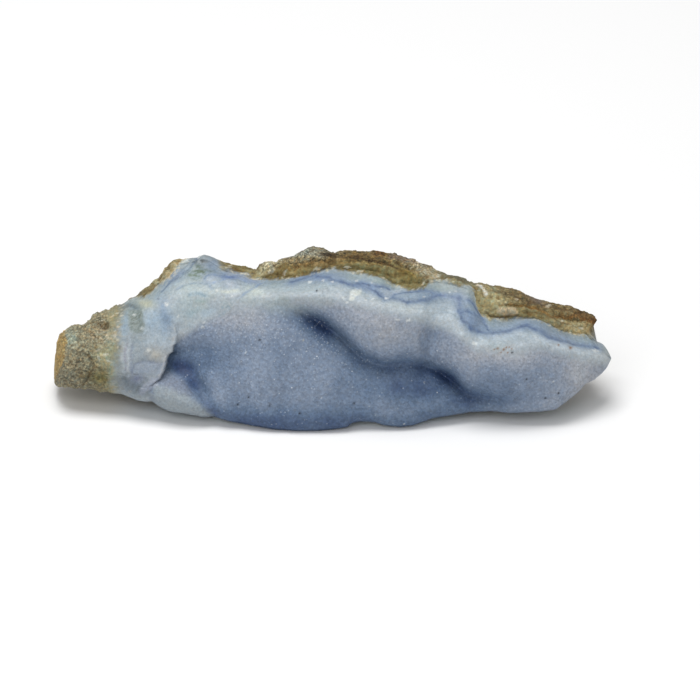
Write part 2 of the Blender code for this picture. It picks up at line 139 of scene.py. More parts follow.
# The hidden back, upright: how far it lies behind the crest, and the level of the underside
BACK_DEPTH = (
    (-55.8, 0.8), (-53.0, 3.6), (-46.0, 5.0), (-36.0, 5.6), (-24.0, 6.6), (-12.0, 4.6),
    (0.0, 3.4), (12.0, 4.2), (24.0, 5.2), (36.0, 4.6), (46.0, 3.2), (52.0, 1.6), (55.9, 0.3),
)
UNDER_LEVEL = (
    (-55.8, -8.6), (-53.0, -10.8), (-46.0, -11.8), (-36.0, -12.8), (-27.0, -14.9),
    (0.0, -15.2), (17.0, -15.0), (25.0, -12.8), (38.0, -11.4), (46.0, -9.0), (52.0, -6.4),
    (55.9, -4.6),
)
UNDER_SLOPE = 0.44
BACK_LEAN = 0.12

# The crease under the hanging lobes: its path, how deep it is cut, and the lobes' step over it
CREASE = (
    (-55.8, -6.4), (-36.0, -5.0), (-24.0, 3.0), (-14.0, 7.2), (-8.0, 6.2), (-2.0, 3.2),
    (1.6, 0.6), (4.4, -2.2), (7.0, -4.2), (11.0, -5.2), (15.0, -4.8), (19.0, -5.4),
    (23.2, -7.6), (27.6, -11.0), (33.0, -12.0), (46.0, -11.4), (55.9, -3.75),
)
CREASE_DEPTH = (
    (-14.0, 0.0), (-8.0, 1.0), (-1.6, 4.0), (2.0, 3.6), (7.0, 2.6), (14.0, 2.4), (19.0, 3.2),
    (23.2, 5.0), (27.0, 3.4), (33.0, 1.6), (40.0, 0.4), (46.0, 0.0),
)
LOBE_STEP = (
    (-14.0, 0.0), (-8.0, 0.5), (-1.6, 1.5), (7.0, 1.9), (16.0, 1.7), (21.0, 1.0),
    (26.0, 2.0), (33.0, 1.7), (42.0, 0.6), (46.0, 0.0),
)
CREASE_REACH_UP = 1.7
CREASE_REACH_DOWN = 3.0
CREASE_SHARPNESS = 0.25
CREASE_SLANT = 0.85
STEP_REACH = 2.6

# The fracture edge at the left, which stands over a hollow: (v, u) going up, and the drop
FRACTURE_U = -33.2
FRACTURE_EDGE = (
    (-11.5, -33.2), (-9.2, -36.4), (-7.6, -34.4), (-6.0, -33.6), (-4.2, -33.2),
    (-2.8, -32.8), (-2.4, -31.9), (-1.0, -31.8), (-0.7, -31.2), (1.2, -31.0), (6.0, -33.2),
)
FRACTURE_WARP = 8.0
FRACTURE_GAP = 0.2
FRACTURE_DROP = (
    (-10.4, 0.0), (-9.0, 0.3), (-7.6, 1.3), (-5.4, 3.8), (-3.0, 3.6), (-0.6, 1.7), (1.4, 0.5),
    (3.0, 0.0),
)
HOLLOW_REACH = 4.6

# Soft lumps and dips, one row each: u, v, half width, half height, turn in degrees, out
LUMPS = (
    (-30.0, -12.2, 6.0, 2.8, -20, 1.5),
    (-22.0, -12.0, 5.0, 4.5, 0, 0.5),
    (-13.6, -8.0, 4.5, 5.0, 10, 0.7),
    (-1.0, -9.5, 4.5, 5.0, 0, 0.6),
    (10.6, -11.0, 4.5, 3.6, 0, 0.6),
    (-18.4, -13.0, 1.6, 5.0, 0, -0.5),
    (-9.4, -12.0, 1.8, 5.0, 0, -0.6),
    (-5.6, 9.4, 5.0, 2.2, -8, 0.8),
    (10.0, 3.0, 5.5, 4.0, -20, 1.0),
    (38.0, -5.0, 8.0, 5.0, -5, 1.0),
    (31.0, 1.0, 3.0, 2.0, 0, 0.4),
    (19.4, -1.6, 1.8, 5.0, -8, -1.5),
    (-26.4, -9.4, 1.5, 5.0, 32, -1.3),
    (-12.6, 15.0, 1.8, 1.2, 0, 1.6),
    (-3.4, 17.2, 3.0, 1.6, 0, 1.4),
    (6.0, 15.8, 6.0, 1.6, 0, 0.8),
    (34.0, 8.0, 4.0, 2.0, -20, 0.9),
    (46.0, 4.6, 5.0, 1.4, -18, 0.6),
    (-21.0, 11.6, 2.4, 1.2, 0, 0.7),
    (-17.0, 12.2, 2.2, 1.0, -10, 0.6),
    (-45.6, 2.6, 1.4, 1.2, 0, -1.0),
)
EDGE_ROUND = 2.2
RIM_ROUND = 0.7

# The relief fades where the stone is lower than this
FULL_HEIGHT = 8.0

# The bite under the rock nose at the right end
NOTCH = (53.1, 1.7)
NOTCH_DEPTH = 1.6
NOTCH_HEIGHT = 1.3
NOTCH_REACH = 3.0

# Flats where chips broke off the hidden back: a point and a way out, upright, and its reach
CHIPS = (
    ((2.0, 13.4, 16.0), (-0.06, 0.97, 0.22), 20.0),
    ((-22.0, 12.0, 14.0), (-0.34, 0.92, 0.20), 15.0),
    ((25.0, 10.6, 14.0), (0.30, 0.90, 0.32), 16.0),
    ((-40.0, 7.0, 8.0), (-0.10, 0.98, -0.16), 12.0),
    ((12.0, 11.4, 5.0), (0.16, 0.84, -0.52), 15.0),
    ((-12.0, 10.2, 4.0), (-0.14, 0.76, -0.63), 16.0),
    ((36.0, 6.4, 6.0), (0.28, 0.72, -0.63), 14.0),
)
CHIP_DEPTH = 2.6

# Roughness of the host rock and of the broken chalcedony
ROCK_BLOCK = 4.2
ROCK_STEP = 0.42
ROCK_GRAIN = 2.4
ROCK_ROUGH = 0.34
BAND_WAVE = 4.6
BAND_ROUGH = 0.22

# Finer relief in millimetres: a height for a noise of the skin, or a size and a height
ROCK_CHIPS = (1.5, 0.20)
ROCK_FINE = 0.16
ROCK_CRUMBS = 0.10
ROCK_STREAKS = 0.20
SMOOTHED = 0.6
BAND_CHIPS = (1.9, 0.10)
BAND_FINE = 0.04
DRUSE_CRUMBS = 0.05
DRUSE_GRAIN = (0.28, 0.03)


def smooth_curve(points, at):
    """Values of a curve that passes smoothly through its points, with no overshoot."""
    x, y = np.array(points, float).T
    step = np.diff(x)
    slope = np.diff(y) / step
    turn = slope[:-1] * slope[1:]
    middle = np.where(turn > 0, 2 * turn / (slope[:-1] + slope[1:] + (turn <= 0)), 0)
    tangent = np.concatenate([slope[:1], middle, slope[-1:]])
    at = np.clip(at, x[0], x[-1])
    k = np.clip(np.searchsorted(x, at) - 1, 0, len(step) - 1)
    t = (at - x[k]) / step[k]
    rise = tangent[k] * t * (1 - t) ** 2 - tangent[k + 1] * t * t * (1 - t)
    return y[k] + (y[k + 1] - y[k]) * t * t * (3 - 2 * t) + rise * step[k]


def line(points, at):
    """Values of a broken line through its points."""
    x, y = np.array(points, float).T
    return np.interp(at, x, y)


def ease(t):
    """0 to 1 with a soft start and a soft end."""
    t = np.clip(t, 0, 1)
    return t * t * (3 - 2 * t)


def lesser(a, b):
    """The lesser of two heights, rounded where they cross."""
    low = np.minimum(a, b)
    return low - RIM_ROUND * np.log1p(np.exp(-np.abs(a - b) / RIM_ROUND))


def upright(u, v, w):
    """Face frame to the stone's own frame, in millimetres: x along, y back, z up."""
    y = v * math.sin(FACE_LEAN) - w * math.cos(FACE_LEAN)
    z = v * math.cos(FACE_LEAN) + w * math.sin(FACE_LEAN)
    return np.stack([u, y - CENTRE_Y, z - FLOOR], axis=-1)


def crease_relief(u, v):
    """The hanging lobes step out over the lower face, with a sharp crease below them."""
    above = (v - smooth_curve(CREASE, u)) * CREASE_SLANT
    reach = np.where(above > 0, CREASE_REACH_UP, CREASE_REACH_DOWN)
    away = np.sqrt(above**2 + CREASE_SHARPNESS**2) - CREASE_SHARPNESS
    cut = smooth_curve(CREASE_DEPTH, u) * np.exp(-away / reach)
    return smooth_curve(LOBE_STEP, u) * ease(above / STEP_REACH) - cut


def warped(u, v):
    """u of the rings bent so that one pair of them follows the fracture edge."""
    shift = line(FRACTURE_EDGE, v) - FRACTURE_U
    return u + shift * ease(1 - np.abs(u - FRACTURE_U) / FRACTURE_WARP)


def fracture_relief(u, v):
    """Right of the jagged fracture edge the surface drops into a hollow."""
    beyond = u - line(FRACTURE_EDGE, v)
    drop = smooth_curve(FRACTURE_DROP, v) * np.exp(-np.maximum(beyond, 0) / HOLLOW_REACH)
    return np.where(beyond > 0, -drop, 0)


def lump_relief(u, v):
    """The sum of the soft lumps and dips."""
    return sum_of_spots(LUMPS, u, v)


def rounded_edge(v, bottom):
    """The face turns under just above the lower outline."""
    near = np.clip(1 - (v - bottom) / EDGE_ROUND, 0, 1)
    return -EDGE_ROUND * (1 - np.sqrt(np.maximum(1 - near**2, 0)))


def bitten(u, v):
    """u with the bite under the rock nose taken out."""
    high = np.exp(-(((v - NOTCH[1]) / NOTCH_HEIGHT) ** 2))
    return u - NOTCH_DEPTH * high * ease(1 - np.abs(NOTCH[0] - u) / NOTCH_REACH)


def front_of(u):
    """Rings' front stretches: arrays of u, v and w, one row for each ring."""
    bottom = line(BOTTOM_EDGE, u)[:, None]
    top = line(TOP_EDGE, u)[:, None]
    tall = top - bottom
    rim = np.clip(smooth_curve(RIM, u)[:, None], bottom + 0.3 * tall, top - 0.1 * tall)
    crease = np.clip(smooth_curve(CREASE, u)[:, None], bottom + 0.15 * tall, rim - 0.1 * tall)
    rock = np.clip(smooth_curve(ROCK_LINE, u)[:, None], rim + 0.05 * tall, top)
    low_out = smooth_curve(LOW_OUT, u)[:, None]
    rim_out = smooth_curve(RIM_OUT, u)[:, None]
    rock_out = smooth_curve(ROCK_OUT, u)[:, None]
    crest_out = smooth_curve(CREST_OUT, u)[:, None]
    low = np.linspace(0, 1, LOW_POINTS, endpoint=False)[None, :]
    lobe = np.linspace(0, 1, LOBE_POINTS, endpoint=False)[None, :]
    band = np.linspace(0, 1, BAND_POINTS, endpoint=False)[None, :]
    crest = np.linspace(0, 1, CREST_POINTS)[None, :] * math.pi / 2
    face = np.hstack([bottom + (crease - bottom) * low, crease + (rim - crease) * lobe])
    v = np.hstack([
        face,
        rim + (rock - rim) * band,
        rock + (top - rock) * np.sin(crest),
    ])
    w_face = low_out + (rim_out - low_out) * (v - bottom) / (rim - bottom)
    w_band = rim_out + (rock_out - rim_out) * (v - rim) / (rock - rim)
    w = lesser(w_face, w_band)
    w[:, -CREST_POINTS:] = rock_out + (crest_out - rock_out) * (1 - np.cos(crest))
    u = warped(np.repeat(u[:, None], v.shape[1], axis=1), v)
    slim = ease(tall / FULL_HEIGHT)
    w = w + slim * (crease_relief(u, v) + fracture_relief(u, v) + lump_relief(u, v))
    return bitten(u, v), v, w + rounded_edge(v, bottom) * slim


def back_of(u, crest, foot):
    """The hidden stretch of one ring, from its crest round the back to its front foot."""
    under = min(float(smooth_curve(UNDER_LEVEL, u)) - FLOOR, foot[2])
    height = crest[2] - under
    depth = float(smooth_curve(BACK_DEPTH, u))
    back = crest[1] + depth
    heel = back - BACK_LEAN * height - 0.12 * (back - foot[1])
    stations = (
        (crest[1], crest[2]),
        (crest[1] + 0.62 * depth, crest[2] - 0.12 * height),
        (back, crest[2] - 0.36 * height),
        (back - 0.4 * BACK_LEAN * height, crest[2] - 0.7 * height),
        (heel, under),
    )
    y, z = np.array(stations).T
    far = np.concatenate([[0], np.cumsum(np.hypot(np.diff(y), np.diff(z)) + 1e-6)])
    at = np.linspace(0, far[-1], BACK_POINTS, endpoint=False)[1:]
    rear_y = smooth_curve(np.stack([far, y], axis=1), at)
    rear_z = smooth_curve(np.stack([far, z], axis=1), at)
    base_y = np.linspace(heel, foot[1], UNDER_POINTS, endpoint=False)
    base_z = np.maximum(foot[2] - UNDER_SLOPE * (base_y - foot[1]), under)
    ring_y = np.concatenate([rear_y, base_y])
    ring_z = np.concatenate([rear_z, base_z])
    return np.stack([np.full_like(ring_y, u), ring_y, ring_z], axis=-1)


def chipped(points):
    """Points beyond a chip's plane, and near it, are laid back onto it."""
    for place, out, reach in CHIPS:
        out = np.array(out) / np.linalg.norm(out)
        offset = points - place
        near = ease(2 - 2 * np.linalg.norm(offset, axis=-1) / reach)
        over = np.clip(offset @ out, 0, CHIP_DEPTH) * near
        points = points - over[..., None] * out
    return points


def outward(points):
    """Unit normals of the ring grid."""
    along = np.gradient(points, axis=0)
    around = np.roll(points, -1, axis=1) - np.roll(points, 1, axis=1)
    normal = np.cross(along, around)
    return normal / np.maximum(np.linalg.norm(normal, axis=-1, keepdims=True), 1e-9)


def block_noise(point):
    """Blocky steps of broken rock: each cell is a small plane with its own tilt."""
    centre = noise.voronoi(point)[1][0]
    tilt = noise.cell_vector(centre * 7.3)
    return tilt.dot(point - centre) + 0.5 * tilt.x


def face_frame(points):
    """The stone's own frame back to the face frame: u, v and w."""
    y = points[..., 1] + CENTRE_Y
    z = points[..., 2] + FLOOR
    v = y * math.sin(FACE_LEAN) + z * math.cos(FACE_LEAN)
    w = z * math.sin(FACE_LEAN) - y * math.cos(FACE_LEAN)
    return points[..., 0], v, w


def field(points, size, kind=noise.noise):
    """Noise for features of a size in millimetres, one value for each point."""
    flat = points.reshape(-1, 3) / size
    values = np.fromiter((kind(Vector(place)) for place in flat), float, len(flat))
    return values.reshape(points.shape[:-1])


def ring_places():
    """Where the rings lie along the stone."""
    left, right = TOP_EDGE[0][0], TOP_EDGE[-1][0]
    return np.sort(np.concatenate([
        np.linspace(left, FRACTURE_U, RINGS_LEFT),
        np.linspace(FRACTURE_U + FRACTURE_GAP, right, RINGS_RIGHT),
        left + np.array(END_RINGS),
        right - np.array(END_RINGS),
    ]))


# Where host rock ends: over the bands as (u, v), beside the left block as (v, u)
ROCK_EDGE = (
    (-42.0, 9.0), (-39.4, 9.0), (-38.8, 8.5), (-36.3, 9.5), (-35.2, 10.5), (-33.2, 12.1),
    (-31.7, 13.8), (-30.2, 15.5), (-28.6, 16.4), (-27.8, 18.0), (-23.6, 18.0), (-22.6, 15.4),
    (-21.6, 14.2), (-19.4, 13.4), (-17.0, 12.9), (-14.2, 12.0), (-8.4, 12.2), (-4.3, 13.0),
    (-1.9, 13.9), (0.6, 14.2), (2.6, 13.9), (4.9, 13.2), (7.8, 13.0), (10.3, 12.2), (12.7, 10.8),
    (15.1, 10.1), (17.5, 10.1), (18.5, 10.5), (19.5, 11.5), (21.6, 12.1), (24.6, 11.2),
    (27.6, 10.7), (28.4, 9.6), (28.8, 7.0), (29.6, 5.0), (31.4, 4.0), (33.9, 4.0), (37.0, 4.4),
    (40.6, 4.1), (43.1, 3.0), (45.7, 1.7), (49.5, 0.9), (51.6, 0.6), (53.2, 1.0), (54.0, 3.0),
)
BLOCK_EDGE = (
    (-10.0, -43.0), (-8.2, -43.6), (-6.3, -43.6), (-3.0, -43.2), (-1.5, -42.6), (0.8, -43.0),
    (5.4, -42.2), (8.0, -42.0),
)

# How thick the chalcedony is behind its druzy face
LAYER = (
    (-55.8, 6.0), (-36.0, 7.5), (-31.0, 11.5), (-24.0, 12.0), (-19.0, 8.0), (0.0, 7.0),
    (46.0, 7.0), (52.0, 8.0), (54.0, 14.0), (55.9, 14.0),
)

# Where the druse starts at the left, as (v, u)
DRUSE_EDGE = (
    (-14.0, -34.8), (-11.4, -36.0), (-9.4, -36.1), (-8.4, -34.9), (-7.6, -34.4), (-6.0, -33.6),
    (-4.2, -33.2), (-2.8, -32.8), (-2.4, -31.9), (-1.0, -31.8), (-0.7, -31.2), (1.2, -31.0),
    (3.2, -28.4), (4.6, -25.4), (7.0, -23.0), (8.8, -18.0),
)

# The place where the rock's border is soft, and the lower left lobe that has little druse:
# u, v, half width, half height, turn
FADED_EDGE = (-22.2, 15.0, 1.8, 1.8)
LOW_LOBE = (-31.2, -12.7, 5.4, 2.3, -24)

# Widths of soft borders in millimetres, and how much wider some of them get: of the druse at
# its left end and under the rim, of the rock's paint, and of the rock's relief
DRUSE_START = 0.3
DRUSE_START_MORE = 4.4
RIM_FADE = 2.6
RIM_FADE_MORE = 2.6
ROCK_BORDER = 0.7
ROCK_BORDER_MORE = 2.0
BLOCK_BORDER = 3.0
HOST_BORDER = 1.2
HOST_BLOCK_BORDER = 2.4

# Routes that are both cut and coloured, as (u, v)
RIDGE_CRACK = ((-26.9, 16.5), (-29.0, 14.2), (-32.1, 11.7), (-33.9, 9.9))
RIDGE_SCRATCH = ((-28.2, 16.0), (-30.0, 14.4), (-32.2, 12.4))
RIDGE_DENT = ((-27.8, 14.0), (-26.6, 14.1), (-25.5, 13.7))
RIDGE_LIP = ((-27.0, 15.1), (-25.2, 14.2), (-24.4, 13.6))
RIM_SCRATCH = ((-13.9, 11.6), (-16.4, 10.0), (-18.7, 8.4))
FRACTURE_RIDGE = ((-39.9, -6.7), (-39.4, -4.7), (-38.0, -4.2), (-35.3, -4.5), (-33.8, -4.7))
BLOCK_CRACK = ((-48.7, -3.0), (-47.4, -5.3), (-48.4, -6.8), (-49.1, -8.2))

# Small forms that the solid leaves out: u, v, half width, half height, turn in degrees, out
SMALL_LUMPS = (
    (-27.6, 9.9, 4.2, 1.6, 0, 0.40),
    (-24.1, 12.0, 1.7, 0.9, 15, 0.40),
    (-20.0, 11.0, 2.4, 1.2, 0, 0.45),
    (-20.4, 12.9, 1.6, 0.5, 0, -0.25),
    (-16.4, 12.0, 1.8, 0.6, -10, -0.20),
    (-30.6, 6.6, 2.4, 1.8, 30, 0.25),
    (-45.4, 2.5, 0.9, 0.7, 20, -0.70),
    (-47.8, 0.6, 1.4, 0.7, -30, -0.30),
    (-44.4, -3.2, 1.6, 1.0, 0, 0.30),
    (-39.2, 3.8, 1.3, 2.0, 0, -0.30),
    (-38.6, -7.5, 1.2, 1.0, 0, -0.25),
    (-36.6, -1.6, 1.6, 1.2, 20, 0.20),
    (4.3, 9.3, 0.9, 0.8, 30, -0.25),
    (2.6, 8.1, 0.6, 0.5, 0, -0.15),
    (28.6, -0.8, 0.8, 0.8, 0, -0.20),
    (16.6, 8.7, 2.6, 0.8, 0, 0.25),
    (28.0, 3.6, 1.4, 1.6, -40, 0.25),
    (35.0, 5.8, 2.0, 0.7, 0, 0.45),
    (38.6, 7.8, 2.4, 0.7, -12, -0.35),
    (47.0, 4.4, 2.4, 0.6, -14, -0.35),
    (51.0, 3.4, 1.2, 0.8, 0, 0.30),
    (-9.4, 14.0, 2.6, 0.7, 12, 0.35),
    (0.6, 15.4, 3.0, 0.6, 4, -0.35),
    (9.0, 14.2, 3.2, 0.8, -10, 0.40),
    (14.8, 14.6, 2.6, 0.6, -14, -0.40),
    (16.0, 12.0, 2.4, 1.2, -20, 0.35),
    (-13.8, 13.8, 1.2, 0.6, 40, -0.25),
)

# Grooves and lips: a route of (u, v), its width and how far it stands out
GROOVES = (
    (RIDGE_CRACK, 0.28, -0.22),
    (RIDGE_SCRATCH, 0.25, -0.18),
    (RIDGE_DENT, 0.30, -0.15),
    (RIDGE_LIP, 0.30, -0.15),
    (((-31.3, 9.7), (-29.6, 11.0), (-27.4, 11.5), (-25.2, 11.0), (-23.5, 10.1)), 0.25, -0.14),
    (RIM_SCRATCH, 0.25, -0.16),
    (FRACTURE_RIDGE, 0.25, -0.16),
    (((-37.2, -7.8), (-39.2, -10.5)), 0.30, -0.18),
    (((-42.2, 6.2), (-40.7, 6.8), (-38.8, 6.5)), 0.35, -0.25),
    (BLOCK_CRACK, 0.35, -0.35),
    (((9.0, 9.8), (10.6, 8.2), (12.6, 9.2), (15.1, 9.7), (18.8, 9.7)), 0.30, -0.14),
    (((25.5, 5.7), (27.2, 5.7), (28.6, 4.8), (31.4, 2.1)), 0.25, -0.14),
    (((33.4, 7.2), (35.4, 6.9), (38.0, 6.8), (41.8, 6.3), (43.4, 6.0)), 0.35, -0.35),
    (((44.1, 4.8), (46.9, 4.8), (49.5, 3.8), (51.5, 4.3)), 0.35, -0.30),
    (((-10.0, 15.6), (-4.0, 15.9), (2.0, 15.7), (7.8, 15.4), (11.5, 14.9), (16.3, 14.2)),
     0.40, -0.30),
)


def smooth_stone():
    """The solid's shape on a fine grid."""
    u = ring_places()
    front_u, v, w = front_of(u)
    front = upright(front_u, v, w)
    back = np.stack([back_of(*ends) for ends in zip(u, front[:, -1], front[:, 0])])
    back = chipped(back)
    back[..., 0] = bitten(back[..., 0], face_frame(back)[1])
    return u, np.concatenate([front, back], axis=1)


def spot(u, v, at_u, at_v, wide, high, turn=0.0):
    """1 at a place, fading to 0 over an ellipse's half width and half height."""
    c, s = math.cos(math.radians(turn)), math.sin(math.radians(turn))
    along = ((u - at_u) * c + (v - at_v) * s) / wide
    across = ((v - at_v) * c - (u - at_u) * s) / high
    return np.exp(-along**2 - across**2)


def sum_of_spots(rows, u, v):
    """The sum of soft spots: each row has a place, its size, its turn and its height."""
    total = np.zeros_like(u)
    for *place, height in rows:
        total += height * spot(u, v, *place)
    return total


def distance_to(u, v, route):
    """How far each point is from a route of straight stretches."""
    nearest = np.full(u.shape, np.inf)
    for (u0, v0), (u1, v1) in zip(route, route[1:]):
        length = (u1 - u0) ** 2 + (v1 - v0) ** 2
        t = np.clip(((u - u0) * (u1 - u0) + (v - v0) * (v1 - v0)) / length, 0, 1)
        gap = (u - u0 - t * (u1 - u0)) ** 2 + (v - v0 - t * (v1 - v0)) ** 2
        nearest = np.minimum(nearest, gap)
    return np.sqrt(nearest)


def stroke(u, v, route, width):
    """1 on a route, fading to 0 over its width."""
    return np.exp(-((distance_to(u, v, route) / width) ** 2))


def patch(u, v, outline, soft):
    """1 inside an outline and 0 outside, with an edge as soft as given."""
    inside = np.zeros(u.shape, bool)
    ring = outline + outline[:1]
    for (u0, v0), (u1, v1) in zip(ring, ring[1:]):
        crosses = (v0 > v) != (v1 > v)
        inside ^= crosses & (u < u0 + (u1 - u0) * (v - v0) / (v1 - v0 + 1e-9))
    away = distance_to(u, v, ring)
    return ease(0.5 + np.where(inside, away, -away) / soft)


def layer_depth(u, v, w):
    """How deep a point lies behind the druzy face, in millimetres."""
    bottom, rim = line(BOTTOM_EDGE, u), smooth_curve(RIM, u)
    low_out, rim_out = smooth_curve(LOW_OUT, u), smooth_curve(RIM_OUT, u)
    rise = (v - bottom) / np.maximum(rim - bottom, 2)
    return low_out + (rim_out - low_out) * np.minimum(rise, 1.3) - w


class Skin:
    """The stone's points: their places, the noise on them, and their masks from 0 to 1."""

    def __init__(self, points):
        self.points = points
        u, v, w = face_frame(points)
        self.u, self.v = u, v
        self.cloud = field(points, 9.0)
        self.swirl = field(points, 3.0)
        self.wander = field(points, 1.6)
        self.fine = field(points, 0.7)
        self.crumbs = field(points, 0.4)
        stretched = np.stack([u * 0.3, v + 0.15 * u, w], axis=-1)
        self.streaks = field(stretched, 0.9)
        self.wide_streaks = field(stretched, 2.4)
        front = np.arange(points.shape[1]) < LOW_POINTS + LOBE_POINTS + BAND_POINTS + CREST_POINTS
        self.front = np.broadcast_to(front, u.shape)
        ragged = 0.5 * self.wander + 0.4 * self.fine + 0.3 * self.crumbs
        over = v - line(ROCK_EDGE, u)
        beside = line(BLOCK_EDGE, v) - u
        depth = layer_depth(u, v, w)
        layer = smooth_curve(LAYER, u)
        behind = np.where(self.front, -9, depth - layer + 1.2 * self.swirl)
        faded = spot(u, v, *FADED_EDGE)
        host = ease(np.maximum(over, behind) / HOST_BORDER + 0.5) * (1 - 0.9 * faded)
        self.host = np.maximum(host, ease(beside / HOST_BLOCK_BORDER + 0.5))
        border = ROCK_BORDER + ROCK_BORDER_MORE * faded
        sharp = ease((np.maximum(over, behind) + ragged) / border + 0.5)
        self.rock = np.maximum(sharp, ease((beside + 1.2 * ragged) / BLOCK_BORDER + 0.5))
        upper = ease((over - 1.2 + self.wander) / 1.6) * (1 - 0.4 * ease((u - 26) / 3))
        self.smooth = np.max([spot(u, v, *place) for place in SMOOTH_FACES], axis=0)
        upper = upper * (1 - 0.9 * self.smooth)
        block = 0.6 * ease((-43.5 - u) / 2) * (1 - 0.8 * spot(u, v, *BLOCK_SMOOTH))
        self.coarse = np.maximum(np.where(self.front, upper, 0.8), block)
        rim, edge = smooth_curve(RIM, u), line(DRUSE_EDGE, v)
        start = DRUSE_START + DRUSE_START_MORE * ease((v + 0.8) / 3)
        fade = RIM_FADE + RIM_FADE_MORE * ease((4 - u) / 10)
        druse = ease((rim - 0.2 - v + 0.5 * self.wander) / fade)
        druse = druse * ease((u - edge + 0.35 * self.fine + 0.3 * self.crumbs) / start)
        druse = druse * (1 - 0.8 * spot(u, v, *LOW_LOBE))
        self.druse = np.where(self.front, druse, 0) * (1 - self.rock)
        beside_rock = 4 * self.host * (1 - self.host) * (1 - 0.7 * ease(-40 - u) * ease(-v / 2))
        self.flecks = ease((field(points + 60, 0.6) - 0.85 + 0.68 * beside_rock) / 0.12)
        rock_line = smooth_curve(ROCK_LINE, u)
        across = (v - rim) / np.maximum(rock_line - rim, 0.5)
        self.across = np.clip(np.where(self.front, across, depth / layer), 0, 1)


def small_relief(skin):
    """Small lumps, grooves and lips of the front."""
    u = skin.u + 0.15 * skin.wander
    v = skin.v + 0.15 * skin.wander
    total = sum_of_spots(SMALL_LUMPS, u, v)
    for route, width, out in GROOVES:
        total += out * stroke(u, v, route, width)
    return np.where(skin.front, total, 0)


def rough_stone():
    """The fine grid with the relief of its rock, its broken band and its druse."""
    u, points = smooth_stone()
    skin = Skin(points)
    rock, druse = skin.host, skin.druse
    coarse = ROCK_STEP * field(points, ROCK_BLOCK, block_noise)
    coarse += ROCK_ROUGH * field(points, ROCK_GRAIN)
    size, height = ROCK_CHIPS
    small = height * field(points, size, block_noise)
    small = small + ROCK_FINE * skin.fine + ROCK_CRUMBS * skin.crumbs
    small = (small + ROCK_STREAKS * skin.streaks) * (1 - SMOOTHED * skin.smooth)
    size, height = BAND_CHIPS
    band = BAND_ROUGH * field(points, BAND_WAVE) + height * field(points, size, block_noise)
    band += BAND_FINE * skin.fine
    size, height = DRUSE_GRAIN
    grain = DRUSE_CRUMBS * skin.crumbs + height * field(points, size)
    rough = rock * (coarse + small) + (1 - rock) * (1 - druse) * band + druse * grain
    rough += small_relief(skin)
    slim = ease((line(TOP_EDGE, u) - line(BOTTOM_EDGE, u) - 2) / FULL_HEIGHT)
    points = points + outward(points) * (rough * slim[:, None])[..., None]
    low, high = (np.array(corner) / MM for corner in CAD_BOX)
    return np.clip(points, low, high), skin


# Tones of the druse, from the deep creases to the tops of the lobes
DRUSE_TONES = (
    (0.0, (28, 44, 80)),
    (0.2, (57, 75, 107)),
    (0.4, (92, 110, 134)),
    (0.6, (124, 137, 156)),
    (0.8, (152, 157, 166)),
    (1.0, (176, 181, 186)),
)

# Tones across the broken band, from the rim to the host rock, and tones of the host rock
BAND_TONES = (
    (0.0, (160, 169, 175)),
    (0.3, (156, 168, 173)),
    (0.55, (142, 156, 164)),
    (0.8, (127, 141, 150)),
    (1.0, (138, 147, 149)),
)
ROCK_TONES = (
    (0.0, (52, 40, 26)),
    (0.3, (88, 72, 44)),
    (0.55, (115, 104, 71)),
    (0.8, (144, 136, 101)),
    (1.0, (190, 182, 150)),
)

# Darker and paler places on the druse, its own tone mixed with painted shade in the hollow, the
# crease and the lower face and painted light on lobe tops: u, v, half width, half height, turn,
# change of tone
TINTS_LIGHT_AND_SHADE = (
    (-19.0, 4.6, 9.0, 3.8, 0, 0.19),
    (-31.2, 1.6, 2.4, 2.4, 0, 0.28),
    (-24.8, -4.0, 5.0, 4.0, 0, -0.16),
    (-16.0, -8.0, 9.0, 5.0, 0, -0.05),
    (-10.4, -1.2, 2.8, 1.6, 0, -0.06),
    (-30.6, -5.2, 2.2, 1.6, -20, -0.12),
    (-29.0, -5.6, 1.8, 1.2, -20, -0.12),
    (-32.4, -3.6, 1.2, 1.2, 0, 0.12),
    (-32.9, -6.4, 1.2, 1.2, 0, 0.16),
    (-28.4, -8.8, 2.6, 1.8, -30, -0.10),
    (-27.2, -8.4, 1.4, 2.4, 30, -0.08),
    (-30.4, 0.4, 2.0, 1.6, 0, 0.06),
    (-19.0, 6.8, 7.0, 1.6, 0, 0.06),
    (-1.4, 2.4, 3.0, 1.2, -38, -0.12),
    (2.0, -9.0, 5.0, 4.0, 0, -0.08),
    (27.0, -12.6, 4.0, 2.0, 0, -0.12),
    (-5.6, 8.6, 7.0, 2.2, -8, 0.10),
    (1.6, -0.4, 3.0, 1.4, -38, 0.16),
    (23.2, -7.2, 2.6, 1.6, -30, -0.16),
    (13.0, -10.0, 6.0, 3.0, 0, -0.26),
    (13.0, -2.4, 4.0, 2.0, 0, -0.06),
    (19.4, -10.4, 3.0, 2.0, 0, -0.12),
    (-8.0, -16.0, 16.0, 3.0, 0, -0.22),
    (36.0, -2.6, 10.0, 2.2, -4, 0.18),
    (36.0, -7.0, 6.0, 2.2, -6, -0.06),
    (33.0, -9.6, 8.0, 3.4, -6, -0.16),
    (20.4, -4.4, 3.0, 1.6, -30, 0.10),
    (50.0, -6.6, 4.0, 5.0, 30, 0.30),
    (44.0, -12.0, 8.0, 3.0, 15, 0.10),
    (10.0, 4.0, 8.0, 3.6, -20, 0.08),
)
# Darker strokes along the valley below the fracture lip and along the crease, painted shade with
# the stone's deeper blue: route, width, change of tone
SHADE_BANDS = (
    (((-32.4, -4.0), (-30.2, -6.4), (-28.2, -9.2), (-26.0, -12.0), (-23.6, -14.4)), 1.5, -0.14),
    (((-11.0, 6.4), (-6.0, 4.6), (-1.6, 1.6), (2.4, -1.8), (7.0, -5.0), (15.0, -6.0), (20.0, -6.8)),
     2.4, -0.12),
    (((-13.0, 7.6), (-6.0, 4.8), (-1.6, 1.6)), 1.8, -0.12),
)

